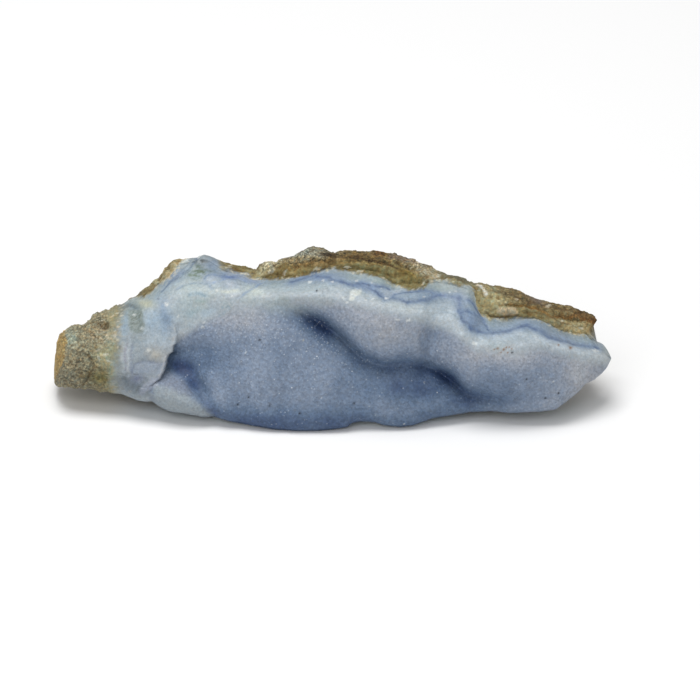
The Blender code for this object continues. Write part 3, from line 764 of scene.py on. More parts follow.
# The blue growth lines in the band: a route and its width, and the colours of line and halo
BLUE_LINES = (
    (((-8.2, 11.5), (-4.8, 12.5), (-0.6, 12.7), (0.1, 11.8), (3.0, 11.2), (6.6, 10.8),
      (9.1, 9.6), (10.5, 8.2)), 0.38),
    (((4.9, 11.3), (7.8, 11.0), (11.5, 10.3)), 0.28),
    (((11.5, 8.2), (12.7, 9.3), (15.1, 9.6), (18.8, 9.6), (20.9, 8.8)), 0.22),
    (((12.0, 8.4), (12.7, 8.1), (15.1, 7.4), (18.8, 7.9), (20.9, 8.8), (22.6, 8.8),
      (25.3, 8.3)), 0.34),
    (((25.3, 8.3), (25.3, 5.8), (26.0, 3.8), (28.3, 2.0), (30.9, 1.2), (31.9, 1.3)), 0.42),
    (((25.8, 5.5), (27.0, 5.7), (28.6, 4.8), (29.8, 3.8), (31.4, 2.1)), 0.22),
    (((27.0, 8.1), (28.3, 6.8), (29.3, 5.0), (30.4, 3.4)), 0.22),
    (((31.9, 1.3), (34.2, 1.7), (36.7, 2.1), (39.0, 3.0), (41.3, 2.0), (43.1, 0.7),
      (45.7, -0.3), (49.5, -1.0), (53.3, -1.6)), 0.40),
)
LINE_BLUE = (78, 96, 126)
HALO_BLUE = (118, 136, 160)

# Colours on the chalcedony: u, v, half width, half height, turn, colour, share
STAINS = (
    (-37.0, -6.0, 6.0, 4.6, 0, (120, 129, 139), 0.85),
    (-41.6, -7.8, 2.6, 1.8, -10, (84, 92, 98), 0.8),
    (-38.0, -9.6, 4.6, 1.6, -10, (80, 90, 98), 0.85),
    (-40.0, 0.6, 3.0, 5.0, 0, (134, 146, 152), 0.7),
    (-42.8, -4.0, 1.2, 4.0, 0, (122, 130, 126), 0.6),
    (22.0, 7.8, 5.6, 3.4, -20, (116, 131, 144), 0.75),
    (36.0, 1.0, 6.0, 1.6, 0, (130, 144, 157), 0.6),
    (53.8, -3.6, 2.2, 2.4, 0, (176, 183, 186), 0.8),
    (-32.8, 5.4, 1.0, 3.4, 25, (132, 151, 174), 0.5),
    (12.6, 9.2, 1.6, 0.6, 15, (178, 188, 196), 0.7),
    (-41.6, 2.8, 0.9, 2.4, 0, (126, 146, 162), 0.7),
    (-33.4, 3.2, 0.8, 3.0, 0, (136, 155, 176), 0.6),
    (-34.8, 3.6, 2.6, 3.2, 0, (140, 162, 180), 0.6),
    (-35.8, 4.2, 1.5, 1.5, 0, (158, 178, 194), 0.8),
    (-33.2, 4.6, 0.8, 2.6, 15, (122, 142, 166), 0.7),
    (-24.0, 15.0, 1.8, 1.2, -20, (108, 124, 142), 0.6),
    (-37.1, 7.2, 1.8, 0.9, -10, (172, 174, 154), 0.9),
    (-35.2, -3.0, 1.6, 1.3, -20, (166, 164, 154), 0.7),
    (-38.9, -7.8, 1.2, 1.0, 10, (84, 92, 116), 0.85),
    (-31.6, -12.0, 5.2, 2.7, -26, (134, 144, 151), 0.9),
    (-33.0, -9.6, 2.0, 1.6, -30, (112, 122, 138), 0.6),
    (-27.6, 9.9, 4.4, 1.5, 0, (164, 176, 177), 0.7),
    (-24.1, 12.1, 1.6, 0.8, 15, (156, 167, 180), 0.8),
    (-20.0, 11.0, 2.4, 1.1, 0, (154, 164, 176), 0.8),
    (-20.4, 12.75, 2.0, 0.65, 0, (94, 114, 152), 1.0),
    (-28.0, 5.4, 1.6, 0.7, 25, (136, 158, 166), 0.7),
    (-16.4, 12.0, 2.2, 0.7, -12, (128, 143, 166), 0.8),
    (-23.8, 14.8, 2.0, 1.6, 0, (112, 128, 146), 0.75),
    (-31.2, 12.6, 3.4, 0.8, 47, (132, 150, 170), 0.6),
    (-15.2, 9.6, 1.9, 0.8, -15, (190, 198, 190), 0.75),
    (-29.0, 6.0, 3.2, 2.4, 0, (160, 178, 184), 0.5),
    (-24.6, 5.6, 2.0, 1.0, 30, (146, 166, 180), 0.5),
    (-1.8, 12.4, 3.4, 0.8, 4, (112, 128, 156), 0.7),
    (9.6, 11.9, 3.6, 0.8, -12, (146, 160, 158), 0.7),
    (7.2, 10.2, 2.6, 0.7, -18, (116, 134, 162), 0.7),
    (16.4, 8.7, 2.6, 0.6, 0, (140, 157, 174), 0.7),
    (13.6, 6.9, 4.0, 1.0, -14, (178, 184, 176), 0.4),
    (27.6, 3.8, 1.8, 1.6, -40, (118, 134, 156), 0.75),
    (26.4, 7.4, 1.2, 1.4, 0, (140, 154, 172), 0.5),
    (36.0, 2.8, 4.5, 0.8, 4, (136, 152, 168), 0.6),
    (45.0, 0.9, 5.0, 0.6, -18, (126, 140, 158), 0.6),
    (22.0, 10.4, 3.4, 1.0, -6, (138, 150, 150), 0.7),
)

# White chips and flakes: u, v, half width, half height, turn
WHITE_CHIPS = (
    (-36.6, -2.0, 0.8, 0.5, 20), (-38.0, 2.3, 0.5, 0.3, 0), (-39.6, 5.2, 0.6, 0.25, 0),
    (-33.0, 7.0, 0.5, 0.35, -30), (-30.9, 4.7, 0.4, 0.2, 10), (-27.1, 6.7, 0.3, 0.15, 0),
    (-31.4, 2.2, 0.2, 0.35, -20), (-25.5, 3.5, 0.5, 0.25, 30), (-25.8, 2.6, 0.4, 0.25, 0),
    (-19.9, 8.7, 0.2, 0.2, 0), (-23.0, 9.8, 0.9, 0.14, -8), (-4.4, 11.5, 0.7, 0.25, 30),
    (-1.8, 11.7, 0.2, 0.35, 0), (0.1, 11.5, 0.4, 0.3, -30), (4.9, 11.8, 0.3, 0.5, 0),
    (4.2, 9.2, 0.9, 0.8, 45), (2.3, 8.3, 0.7, 0.3, -45), (3.0, 7.5, 0.4, 0.3, 0),
    (8.0, 11.4, 0.25, 0.25, 0), (9.9, 10.3, 0.25, 0.2, 0), (10.9, 8.3, 0.6, 0.25, 10),
    (6.8, 8.0, 0.5, 0.2, 10), (8.2, 8.2, 0.4, 0.2, 0), (13.0, 4.1, 0.5, 0.3, 0),
    (15.2, 3.9, 0.5, 0.3, 0), (18.3, 8.5, 0.25, 0.2, 0), (18.2, 11.2, 0.6, 0.3, 50),
    (19.9, 11.7, 0.5, 0.3, 0), (21.0, 12.6, 0.9, 0.4, 20), (23.4, 9.5, 0.3, 0.2, 0),
    (24.6, 9.7, 0.3, 0.15, 0), (28.3, -0.6, 0.7, 0.5, -40), (29.2, 9.8, 0.2, 0.2, 0),
    (30.6, 10.0, 0.8, 0.2, -50), (37.0, 8.1, 0.6, 0.2, 0), (43.2, 6.5, 0.7, 0.3, 0),
    (46.2, 3.9, 0.6, 0.3, 0), (49.8, 2.4, 0.7, 0.3, -20), (52.6, -2.1, 0.9, 0.4, -15),
    (33.8, 4.2, 0.4, 0.25, 0), (5.6, 13.6, 0.9, 0.3, 15), (3.0, 14.5, 0.8, 0.3, 0),
    (0.3, 14.4, 0.7, 0.3, 25), (-2.8, 14.1, 1.0, 0.3, 10), (-9.4, 13.2, 0.9, 0.3, 50),
    (-12.2, 13.6, 0.8, 0.5, 45), (10.2, 12.4, 0.4, 0.25, 0), (15.6, 16.2, 0.5, 0.25, 0),
    (17.6, 15.0, 0.9, 0.5, -20), (-29.4, 16.0, 1.2, 0.4, 12), (-26.6, 16.7, 0.7, 0.2, 20),
    (-17.2, 13.2, 1.2, 0.25, -10),
    (-45.1, -2.9, 1.0, 0.35, 10), (-45.0, 1.0, 0.5, 0.25, 50), (-44.2, 0.2, 0.4, 0.2, 20),
    (-43.4, 0.9, 0.3, 0.35, 0), (-42.8, 2.6, 0.3, 0.3, 0), (-42.8, -1.5, 0.25, 0.25, 0),
    (-45.8, 3.9, 0.7, 0.2, 20), (-46.6, -2.0, 0.9, 0.22, 25), (-44.6, -4.2, 0.8, 0.2, -20),
    (-46.6, -3.6, 0.25, 0.7, 10), (-43.6, 4.6, 0.7, 0.2, 30), (-42.9, 5.4, 0.5, 0.2, 20),
)

# Thin marks on the chalcedony: route, width, colour, share. Most are its own cracks and lines; some
# are painted highlights along the rim and the fracture edge, painted light at the lip's foot and
# painted shade in a crevice
MARKS_LIGHT_AND_SHADE = (
    (RIDGE_CRACK, 0.20, (84, 102, 126), 0.8),
    (RIDGE_SCRATCH, 0.18, (98, 116, 138), 0.7),
    (RIDGE_DENT, 0.20, (88, 104, 86), 0.9),
    (((-28.4, 13.1), (-27.4, 13.1), (-26.5, 12.8)), 0.18, (96, 114, 100), 0.8),
    (((-26.0, 15.9), (-25.4, 15.7)), 0.22, (56, 62, 62), 0.9),
    (((-34.5, 8.2), (-34.3, 8.1)), 0.14, (90, 94, 110), 0.8),
    (RIDGE_LIP, 0.28, (84, 100, 96), 0.9),
    (((-31.3, 9.7), (-29.6, 11.0), (-27.4, 11.5), (-25.2, 11.0), (-23.5, 10.1), (-21.8, 9.5)),
     0.20, (122, 140, 158), 0.8),
    (((-25.5, 11.8), (-24.9, 12.7), (-23.6, 13.0), (-22.4, 12.6)), 0.18, (116, 134, 160), 0.8),
    (((-25.3, 11.3), (-24.0, 10.9), (-22.6, 11.4), (-21.4, 12.1)), 0.16, (122, 142, 170), 0.7),
    (((-23.4, 11.2), (-21.8, 11.9), (-20.3, 12.1), (-18.6, 12.6), (-17.1, 11.9)),
     0.16, (126, 144, 172), 0.7),
    (((-28.3, 9.0), (-26.6, 9.2), (-25.3, 8.9)), 0.30, (128, 150, 162), 0.8),
    (((-27.2, 7.8), (-25.3, 7.7)), 0.20, (132, 152, 150), 0.7),
    (((-23.4, 9.9), (-21.0, 9.4), (-18.6, 9.6)), 0.22, (188, 194, 182), 0.7),
    (RIM_SCRATCH, 0.18, (112, 132, 160), 0.75),
    (FRACTURE_RIDGE,
     0.16, (104, 114, 132), 0.7),
    # Painted shade in the crevice between the fracture facets and the low lobe.
    (((-34.8, -8.2), (-36.2, -9.4), (-36.1, -11.4), (-35.2, -13.2)), 0.32, (100, 110, 132), 0.45),
    (((-41.6, 0.6), (-41.7, -6.6)), 0.34, (178, 187, 193), 0.5),
    (((-40.5, 0.8), (-40.7, -7.0)), 0.28, (178, 186, 193), 0.5),
    (((-41.05, 0.0), (-41.2, -6.0)), 0.16, (136, 134, 148), 0.6),
    (((-39.9, -1.0), (-40.1, -8.0)), 0.24, (118, 127, 143), 0.65),
    (((-42.2, 6.3), (-40.7, 6.9), (-38.8, 6.6)), 0.32, (98, 110, 118), 0.8),
    # Pale lines along the rim: the pale chalcedony there, with a painted highlight where the face
    # rolls over.
    (((12.0, 6.4), (16.0, 5.8), (20.0, 6.4), (23.2, 6.4), (24.4, 3.8), (26.0, 1.2)),
     0.8, (186, 197, 204), 0.45),
    (((27.6, 0.0), (29.0, -0.2), (33.0, 0.4), (37.0, 1.1), (40.0, 0.7), (44.0, -1.0),
      (48.0, -2.0), (51.0, -3.0)), 0.7, (186, 197, 204), 0.5),
    # A painted highlight along the jagged fracture edge.
    (((-34.7, -7.9), (-34.0, -6.4), (-33.7, -4.9), (-33.1, -2.9), (-32.1, -2.0), (-31.6, 0.4)),
     0.14, (190, 187, 186), 0.45),
    # Painted light at the lip's lower end, which lifts its shadow.
    (((-35.3, -8.9), (-34.4, -7.6), (-33.8, -6.4)), 0.30, (158, 166, 178), 0.8),
)

# Flat facets on the broken chalcedony: outline, colour, share, softness of the edge
FACETS = (
    (((-41.0, 6.0), (-38.0, 6.4), (-37.4, 3.4), (-37.5, 1.8), (-39.4, 1.3), (-40.5, 2.0)),
     (122, 132, 126), 0.7, 0.5),
    (((-39.9, -6.5), (-38.9, -4.4), (-36.3, -4.3), (-33.1, -4.3), (-34.4, -6.9), (-37.6, -6.5)),
     (134, 145, 160), 0.6, 0.5),
    (((-38.9, -10.8), (-36.3, -7.5), (-34.4, -7.8), (-35.7, -9.5), (-37.6, -10.8)),
     (142, 149, 164), 0.6, 0.5),
    (((10.4, 8.1), (10.0, 10.0), (14.0, 10.3), (12.6, 9.3)), (172, 182, 190), 0.6, 0.5),
    (((3.4, 8.1), (3.8, 9.6), (4.9, 10.5), (5.8, 10.3), (5.5, 9.3), (4.6, 8.7), (4.2, 7.8)),
     (196, 200, 190), 0.8, 0.5),
    (((25.2, 6.0), (27.4, 6.2), (29.6, 3.4), (31.4, 1.6), (28.4, 2.0), (26.2, 3.8)),
     (112, 130, 156), 0.6, 0.5),
    (((-35.9, -10.2), (-35.0, -9.0), (-32.0, -9.6), (-29.0, -11.0), (-26.5, -13.1),
      (-23.8, -15.2), (-25.8, -16.4), (-30.4, -15.6), (-33.0, -14.8), (-36.2, -12.8)),
     (139, 148, 153), 0.8, 1.3),
    (((-34.6, -7.4), (-32.4, -6.6), (-30.0, -8.0), (-27.8, -10.8), (-29.4, -11.0),
      (-32.0, -9.4), (-35.0, -8.8)), (108, 116, 131), 0.7, 1.6),
)

# Speckled places: u, v, half width, half height, turn, colour of the specks
SPECKLES = (
    (-26.4, 15.8, 1.6, 0.5, -8, (60, 66, 62)),
    (-27.0, 13.6, 1.8, 1.3, -40, (92, 106, 84)),
    (-29.6, 13.4, 3.4, 0.6, 47, (96, 112, 130)),
    (-39.3, 4.2, 1.5, 2.4, 0, (84, 94, 84)),
    (-31.4, 14.2, 5.0, 0.8, 47, (200, 192, 166)),
    (-46.0, 2.4, 2.4, 1.6, 0, (104, 82, 54)),
    (-45.4, 0.6, 2.6, 1.4, 0, (196, 190, 166)),
    (-50.0, -5.0, 4.0, 4.0, 0, (72, 66, 56)),
    (-5.0, 17.4, 3.6, 0.8, 5, (66, 66, 56)),
    (18.4, 14.0, 3.4, 1.2, -30, (190, 182, 158)),
    (24.6, 12.2, 3.6, 0.5, -18, (70, 68, 54)),
    (-21.0, 6.4, 2.6, 1.0, 40, (132, 150, 160)),
)

# Faces of the host rock that are smooth: u, v, half width, half height, turn
SMOOTH_FACES = (
    (31.4, 7.4, 3.8, 2.8, -10), (35.2, 5.7, 2.4, 1.0, 0), (14.4, 13.0, 3.6, 2.2, -25),
    (7.4, 14.2, 4.4, 1.0, -12), (42.0, 4.9, 7.0, 1.0, -12), (19.6, 13.2, 2.4, 1.2, -30),
    (41.0, 7.9, 2.2, 0.7, -30),
)

# The part of the left block that is less coarse: u, v, half width, half height
BLOCK_SMOOTH = (-45.0, -5.0, 3.2, 4.0)

# Colours on the host rock: u, v, half width, half height, turn, colour, share. Then thin
# marks as a route, width, colour and share, and the outlines of the ochre skin and a plate
ROCK_STAINS = (
    (-52.2, 0.4, 1.3, 1.8, 0, (136, 145, 124), 0.7),
    (-50.4, -7.8, 5.5, 2.2, 0, (102, 97, 78), 0.75),
    (-44.6, 1.6, 1.6, 2.4, 20, (150, 140, 112), 0.5),
    (-45.4, 2.5, 0.9, 0.6, 20, (58, 42, 28), 0.9),
    (-47.6, 0.8, 1.6, 0.5, -35, (92, 76, 50), 0.6),
    (-45.2, -3.4, 3.0, 2.2, 0, (156, 150, 112), 0.9),
    (-45.8, -7.6, 3.4, 1.6, -10, (96, 88, 50), 0.9),
    (-43.4, 3.8, 2.0, 2.4, 0, (138, 132, 96), 0.6),
    (-43.6, -4.6, 1.4, 5.0, 0, (126, 128, 100), 0.8),
    (-19.0, 14.6, 3.2, 0.9, -5, (126, 112, 72), 0.7),
    (-12.6, 15.2, 1.8, 1.1, 0, (216, 211, 184), 0.95),
    (-14.0, 13.6, 1.2, 0.8, 40, (174, 170, 142), 0.85),
    (3.0, 16.6, 17.0, 1.3, -2, (100, 80, 44), 0.75),
    (-5.6, 17.2, 5.0, 1.0, 5, (158, 162, 151), 1.0),
    (-8.0, 13.7, 5.4, 1.2, 8, (134, 118, 76), 0.8),
    (7.4, 14.3, 4.8, 1.2, -12, (122, 116, 80), 0.85),
    (14.6, 12.4, 3.8, 2.0, -25, (126, 118, 80), 0.85),
    (15.2, 13.4, 2.2, 1.3, -25, (124, 104, 48), 0.8),
    (-3.0, 15.2, 6.0, 0.6, 10, (120, 92, 52), 0.5),
    (14.4, 13.0, 0.7, 0.35, -20, (80, 64, 30), 0.75),
    (9.5, 17.2, 1.4, 0.6, 0, (104, 68, 40), 0.7),
    (-31.4, 14.2, 5.4, 1.2, 47, (172, 160, 126), 0.85),
    (14.8, 15.9, 1.5, 0.6, -20, (138, 130, 110), 0.75),
    (19.2, 13.6, 2.4, 1.4, -30, (168, 162, 138), 0.9),
    (25.6, 12.2, 4.2, 0.7, -15, (126, 126, 110), 0.85),
    (32.0, 7.9, 4.4, 2.8, -10, (168, 161, 126), 0.9),
    (36.4, 9.4, 4.0, 0.8, -14, (122, 112, 84), 0.7),
    (44.0, 6.6, 5.0, 0.6, -14, (104, 84, 60), 0.6),
    (-26.4, 13.6, 2.4, 1.2, -30, (118, 122, 98), 0.5),
    (41.0, 8.4, 8.0, 1.2, -14, (114, 96, 64), 0.7),
    (41.0, 7.9, 1.8, 0.6, -30, (116, 106, 100), 0.8),
    (41.0, 5.0, 8.0, 0.9, -10, (134, 122, 84), 0.7),
    (48.6, 2.4, 5.0, 1.2, -15, (178, 166, 130), 0.95),
    (50.4, 4.8, 2.6, 0.9, -25, (98, 72, 44), 0.75),
    (52.6, 3.7, 0.8, 0.7, 0, (122, 84, 46), 0.7),
    (50.7, 4.1, 0.5, 0.35, 0, (58, 40, 24), 0.8),
)
ROCK_MARKS = (
    (BLOCK_CRACK, 0.32, (66, 52, 32), 0.65),
    (((1.0, 15.6), (5.4, 15.7), (9.2, 15.2), (12.0, 14.6), (16.3, 14.2)),
     0.22, (150, 128, 78), 0.6),
    (((-2.1, 17.2), (1.0, 16.4), (4.4, 16.6), (8.0, 15.9), (11.6, 14.9), (13.2, 14.0)),
     0.28, (60, 44, 24), 0.8),
    (((-12.0, 14.6), (-8.0, 15.4), (-3.0, 15.8), (0.6, 16.2)), 0.22, (72, 56, 34), 0.6),
    (((-9.6, 16.0), (-4.6, 16.5), (-2.4, 16.4)), 0.2, (150, 132, 92), 0.5),
    (((12.6, 15.3), (14.6, 14.9), (16.4, 13.9)), 0.2, (66, 52, 32), 0.6),
    (((11.6, 16.5), (14.4, 16.0), (17.0, 15.0)), 0.35, (112, 98, 84), 0.7),
    (((33.5, 6.9), (35.2, 7.2), (39.3, 6.9), (41.6, 6.0), (43.6, 4.9)), 0.22, (128, 94, 46), 0.75),
    (((43.9, 4.6), (46.4, 4.9), (48.6, 4.9), (50.9, 4.0), (52.6, 3.4)), 0.26, (112, 80, 42), 0.8),
    (((30.6, 5.5), (32.0, 4.6), (33.5, 4.4), (35.8, 4.8)), 0.28, (74, 58, 36), 0.75),
    (((38.6, 5.8), (42.0, 5.2), (45.6, 3.8), (49.0, 2.6)), 0.18, (86, 68, 42), 0.6),
    (((31.8, 9.8), (36.6, 8.6), (40.0, 7.4), (44.6, 6.2)), 0.2, (78, 64, 46), 0.55),
    (((29.1, 10.8), (30.4, 10.2), (30.9, 9.3)), 0.24, (216, 212, 200), 0.95),
)
OCHRE_SKIN = (
    (-57.0, 2.6), (-53.6, 2.4), (-53.3, 0.6), (-53.2, -2.3), (-53.7, -4.5), (-54.9, -6.3),
    (-55.6, -8.6), (-57.0, -8.6),
)
CREAM_PLATE = (
    (33.0, 6.4), (35.4, 6.6), (36.6, 6.5), (37.3, 5.4), (36.4, 5.2), (36.1, 4.8), (34.0, 4.9),
    (32.8, 5.4),
)

# Wide patches on the hidden sides: their size, colour and how rare they are
HIDDEN_ZONES = (
    (15.0, (104, 82, 50), 0.02),
    (11.0, (128, 126, 108), 0.10),
    (7.0, (150, 142, 108), 0.22),
    (5.0, (132, 92, 50), 0.30),
)

# Pinprick specks on the druse as (u, v), and rusty ones as (u, v, size)
DARK_SPECKS = (
    (-14.4, 0.0), (-18.8, -12.8), (-12.4, -13.0), (-6.4, -14.6), (-16.6, -11.4), (-3.0, 9.7),
    (4.4, -12.6), (35.9, -2.5), (38.8, -7.8), (45.2, -10.6), (42.6, -11.6),
)
RUST_SPECKS = (
    (32.3, -1.9, 0.16), (33.0, -1.7, 0.24), (34.2, -1.9, 0.28), (34.7, -1.5, 0.18),
    (35.3, -1.4, 0.16), (35.8, -1.8, 0.18), (35.0, -2.5, 0.16), (33.6, -2.5, 0.16),
    (47.6, -1.6, 0.32), (45.2, -1.0, 0.16),
)

# Where the crystals get most painted glints: u, v, half width, half height, turn, share
PAINTED_GLINT_SPOTS = (
    (-16.0, 3.4, 10.0, 4.6, 0, 0.9),
    (-25.4, 3.0, 1.6, 1.6, 0, 0.6),
    (-1.4, 0.4, 3.0, 2.0, -40, 0.7),
    (-0.4, -3.0, 6.0, 3.0, 0, 0.4),
)


# Single colours of the stone, its marks and its painted glints
BAND_GREEN = (150, 164, 160)
DARK_SPECK = (14, 18, 28)
DARK_SPECK_SIZE = 0.20
RUST_SPECK = (118, 84, 50)
BLOCK_GREY = (158, 152, 128)
RUSTY_ROCK = (130, 98, 52)
PIT_BROWN = (54, 42, 28)
OCHRE = (150, 124, 74)
CREAM = (184, 170, 140)
FLECK_CREAM = (190, 186, 166)
CHIP_WHITE = (202, 207, 206)
CHIP_CREAM = (192, 187, 166)
PAINTED_GLINT_WHITE = (212, 218, 224)
MARK_SPREAD = 1.3

# Shader values: sizes of crystals, pebbles and painted sparks in millimetres, the index and
# strength of reflection, roughness, and the height of the bump in metres
FACET_SIZE = 0.42
PEBBLE_SIZE = 0.40
PAINTED_SPARK_SIZE = 0.5
QUARTZ_IOR = 1.54
SPECULAR = 0.3
BAND_ROUGHNESS = 0.42
DRUSE_ROUGHNESS = 0.55
ROCK_ROUGHNESS = 0.85
BAND_BUMP = 0.00014
DRUSE_BUMP = 0.00007
ROCK_BUMP = 0.0003


def rgb(red, green, blue):
    """A colour from 0 to 255 a channel, as the linear values that shaders use."""
    return (np.array([red, green, blue]) / 255) ** 2.2


def tone_of(stops, at):
    """A colour for each value, between the stops of a scale."""
    places = [stop[0] for stop in stops]
    channels = np.array([rgb(*stop[1]) for stop in stops]).T
    return np.stack([np.interp(at, places, channel) for channel in channels], axis=-1)


def blend(colour, other, share):
    """A colour part of the way to another one."""
    return colour + (other - colour) * np.clip(share, 0, 1)[..., None]


def stained(colours, rows, u, v, marked, texture):
    """Colours with soft stains on them, which keep the texture below."""
    for *place, colour, share in rows:
        stain = rgb(*colour) * texture
        colours = blend(colours, stain, marked * share * spot(u, v, *place))
    return colours


def streaked(colours, rows, u, v, marked, spread=1.0):
    """Colours with thin marks on them, as much wider than listed as spread says."""
    for route, width, colour, share in rows:
        on_route = stroke(u, v, route, spread * width)
        colours = blend(colours, rgb(*colour), marked * share * on_route)
    return colours


def druse_paint(skin):
    """Deep blue in the creases and mauve grey on the lobes, partly the stone's own colour and
    partly painted shade and painted light, with painted shade towards the lower edge.
    """
    u, v = skin.u, skin.v
    # The tone follows the relief: the stone's deeper blue in its recesses, with painted shade in
    # the creases and hollows and painted light on the lobes.
    relief = crease_relief(u, v) + fracture_relief(u, v) + lump_relief(u, v)
    shade = 0.57 + 0.05 * relief + 0.05 * skin.cloud + 0.05 * skin.swirl + 0.03 * skin.wander
    # Painted shade towards the lower edge, where the face turns under.
    shade = shade - 0.18 * ease((line(BOTTOM_EDGE, u) + 5 - v) / 6) * ease((30 - u) / 10)
    # Spots and strokes of tone: the stone's own tone, with painted shade in the hollow, the crease
    # and low on the face, and painted light on lobe tops.
    for *place, change in TINTS_LIGHT_AND_SHADE:
        shade = shade + change * spot(u, v, *place)
    for route, width, change in SHADE_BANDS:
        shade = shade + change * stroke(u, v, route, width)
    shade = shade + 0.03 * skin.fine + 0.04 * field(skin.points, 0.4)
    return tone_of(DRUSE_TONES, np.clip(shade, 0, 1))


def band_paint(skin):
    """Pale bands that follow the layer's edge."""
    swirl = skin.swirl
    broad = np.sin(26 * skin.across + 5 * swirl) * 0.05
    bands = broad + np.sin(61 * skin.across + 7 * swirl) * 0.03
    return tone_of(BAND_TONES, np.clip(skin.across + 0.10 * swirl + bands, 0, 1))


def chalcedony_paint(skin):
    """The druse and the band, with everything that is marked on them."""
    u, v = skin.u, skin.v
    mottle = 1 + 0.06 * skin.wander + 0.06 * skin.fine + 0.07 * skin.streaks
    band = band_paint(skin) * mottle[..., None]
    stone = blend(band, rgb(*BAND_GREEN), 0.3 * ease(3 * skin.cloud + 1.2 * skin.swirl - 0.4))
    marked = skin.front * 1.0
    wu = u + 0.45 * skin.wander + 0.2 * skin.fine
    wv = v + 0.35 * skin.swirl + 0.2 * skin.fine
    faint = marked * np.clip(0.8 + 0.8 * skin.wander + 0.5 * skin.fine, 0.3, 1)
    stone = stained(stone, STAINS, wu, wv, marked, mottle[..., None])
    stone = blend(stone, druse_paint(skin), skin.druse)
    for outline, colour, share, soft in FACETS:
        stone = blend(stone, rgb(*colour), marked * share * patch(wu, wv, outline, soft))
    for route, width in BLUE_LINES:
        halo = marked * 0.75 * stroke(wu, wv, route, 2.4 * width)
        stone = blend(stone, rgb(*HALO_BLUE) * mottle[..., None], halo)
        stone = blend(stone, rgb(*LINE_BLUE), faint * 0.9 * stroke(wu, wv, route, 0.8 * width))
    # Thin marks, some of them painted highlights, painted light and painted shade.
    stone = streaked(stone, MARKS_LIGHT_AND_SHADE, wu, wv, faint, MARK_SPREAD)
    for place in DARK_SPECKS:
        speck = spot(u, v, *place, DARK_SPECK_SIZE, DARK_SPECK_SIZE)
        stone = blend(stone, rgb(*DARK_SPECK), marked * 1.3 * speck)
    for at_u, at_v, size in RUST_SPECKS:
        stone = blend(stone, rgb(*RUST_SPECK), marked * spot(u, v, at_u, at_v, size, size))
    return stone


def rock_paint(skin):
    """Brown host rock, laid in thin streaks, with its own patches and stains."""
    u, v = skin.u, skin.v
    hard = 0.55 + 0.24 * skin.fine + 0.24 * skin.streaks + 0.14 * skin.wide_streaks
    hard = hard + 0.10 * skin.swirl + 0.22 * skin.crumbs
    host = tone_of(ROCK_TONES, np.clip(hard, 0, 1))
    hidden = ~skin.front * 1.0
    for size, colour, level in HIDDEN_ZONES:
        share = ease((field(skin.points + 40 * size, size) + 0.10 * skin.wander - level) / 0.3)
        host = blend(host, rgb(*colour), 0.75 * hidden * share)
    marked = skin.front * 1.0
    wu, wv = u + 0.3 * skin.wander, v + 0.3 * skin.wander
    block = ease((-42.0 - u) / 2.0)
    grains = tone_of(ROCK_TONES, np.clip(0.55 + 0.5 * (hard - 0.5), 0, 1))
    host = blend(host, grains, block)
    host = blend(host, rgb(*BLOCK_GREY), 0.65 * block)
    texture = (host / np.maximum(host.mean(axis=(0, 1)), 1e-3)) ** 0.6
    host = stained(host, ROCK_STAINS, wu, wv, marked, texture)
    rusty = ease((field(skin.points + 20, 0.8) + 0.5 * skin.streaks - 0.08) / 0.2)
    host = blend(host, rgb(*RUSTY_ROCK), 0.3 * marked * rusty * skin.coarse * (1 - block))
    pits = ease((0.5 * skin.crumbs + 0.5 * field(skin.points + 50, 0.55) - 0.12) / 0.12)
    host = blend(host, rgb(*PIT_BROWN), 0.55 * pits * skin.coarse)
    host = blend(host, rgb(*OCHRE) * texture, 0.9 * patch(wu, wv, OCHRE_SKIN, 0.4))
    host = blend(host, rgb(*CREAM), marked * 0.9 * patch(wu, wv, CREAM_PLATE, 0.3))
    return streaked(host, ROCK_MARKS, wu, wv, marked)


def chipped_paint(skin, colours):
    """Speckled places, cream crumbs along the rock's border, and ragged white chips."""
    for *place, colour in SPECKLES:
        near = spot(skin.u, skin.v, *place) * ease((skin.crumbs + 0.6 * skin.fine - 0.08) / 0.15)
        colours = blend(colours, rgb(*colour), skin.front * 0.75 * near)
    colours = blend(colours, rgb(*FLECK_CREAM), 0.65 * skin.flecks)
    white = np.broadcast_to(rgb(*CHIP_WHITE), colours.shape)
    white = blend(white, rgb(*CHIP_CREAM), skin.rock)
    for place in WHITE_CHIPS:
        near = spot(skin.u, skin.v, *place) + 0.4 * skin.crumbs + 0.2 * skin.fine
        colours = blend(colours, white, skin.front * 0.7 * ease((near - 0.4) / 0.3))
    return colours


def painted_glint_share_of(skin):
    """How many of the crystals get a painted glint, from 0 to 1."""
    total = 0.06 + 0.10 * skin.cloud
    for *place, share in PAINTED_GLINT_SPOTS:
        total = total + share * spot(skin.u, skin.v, *place)
    return np.clip(total, 0, 1) * skin.druse


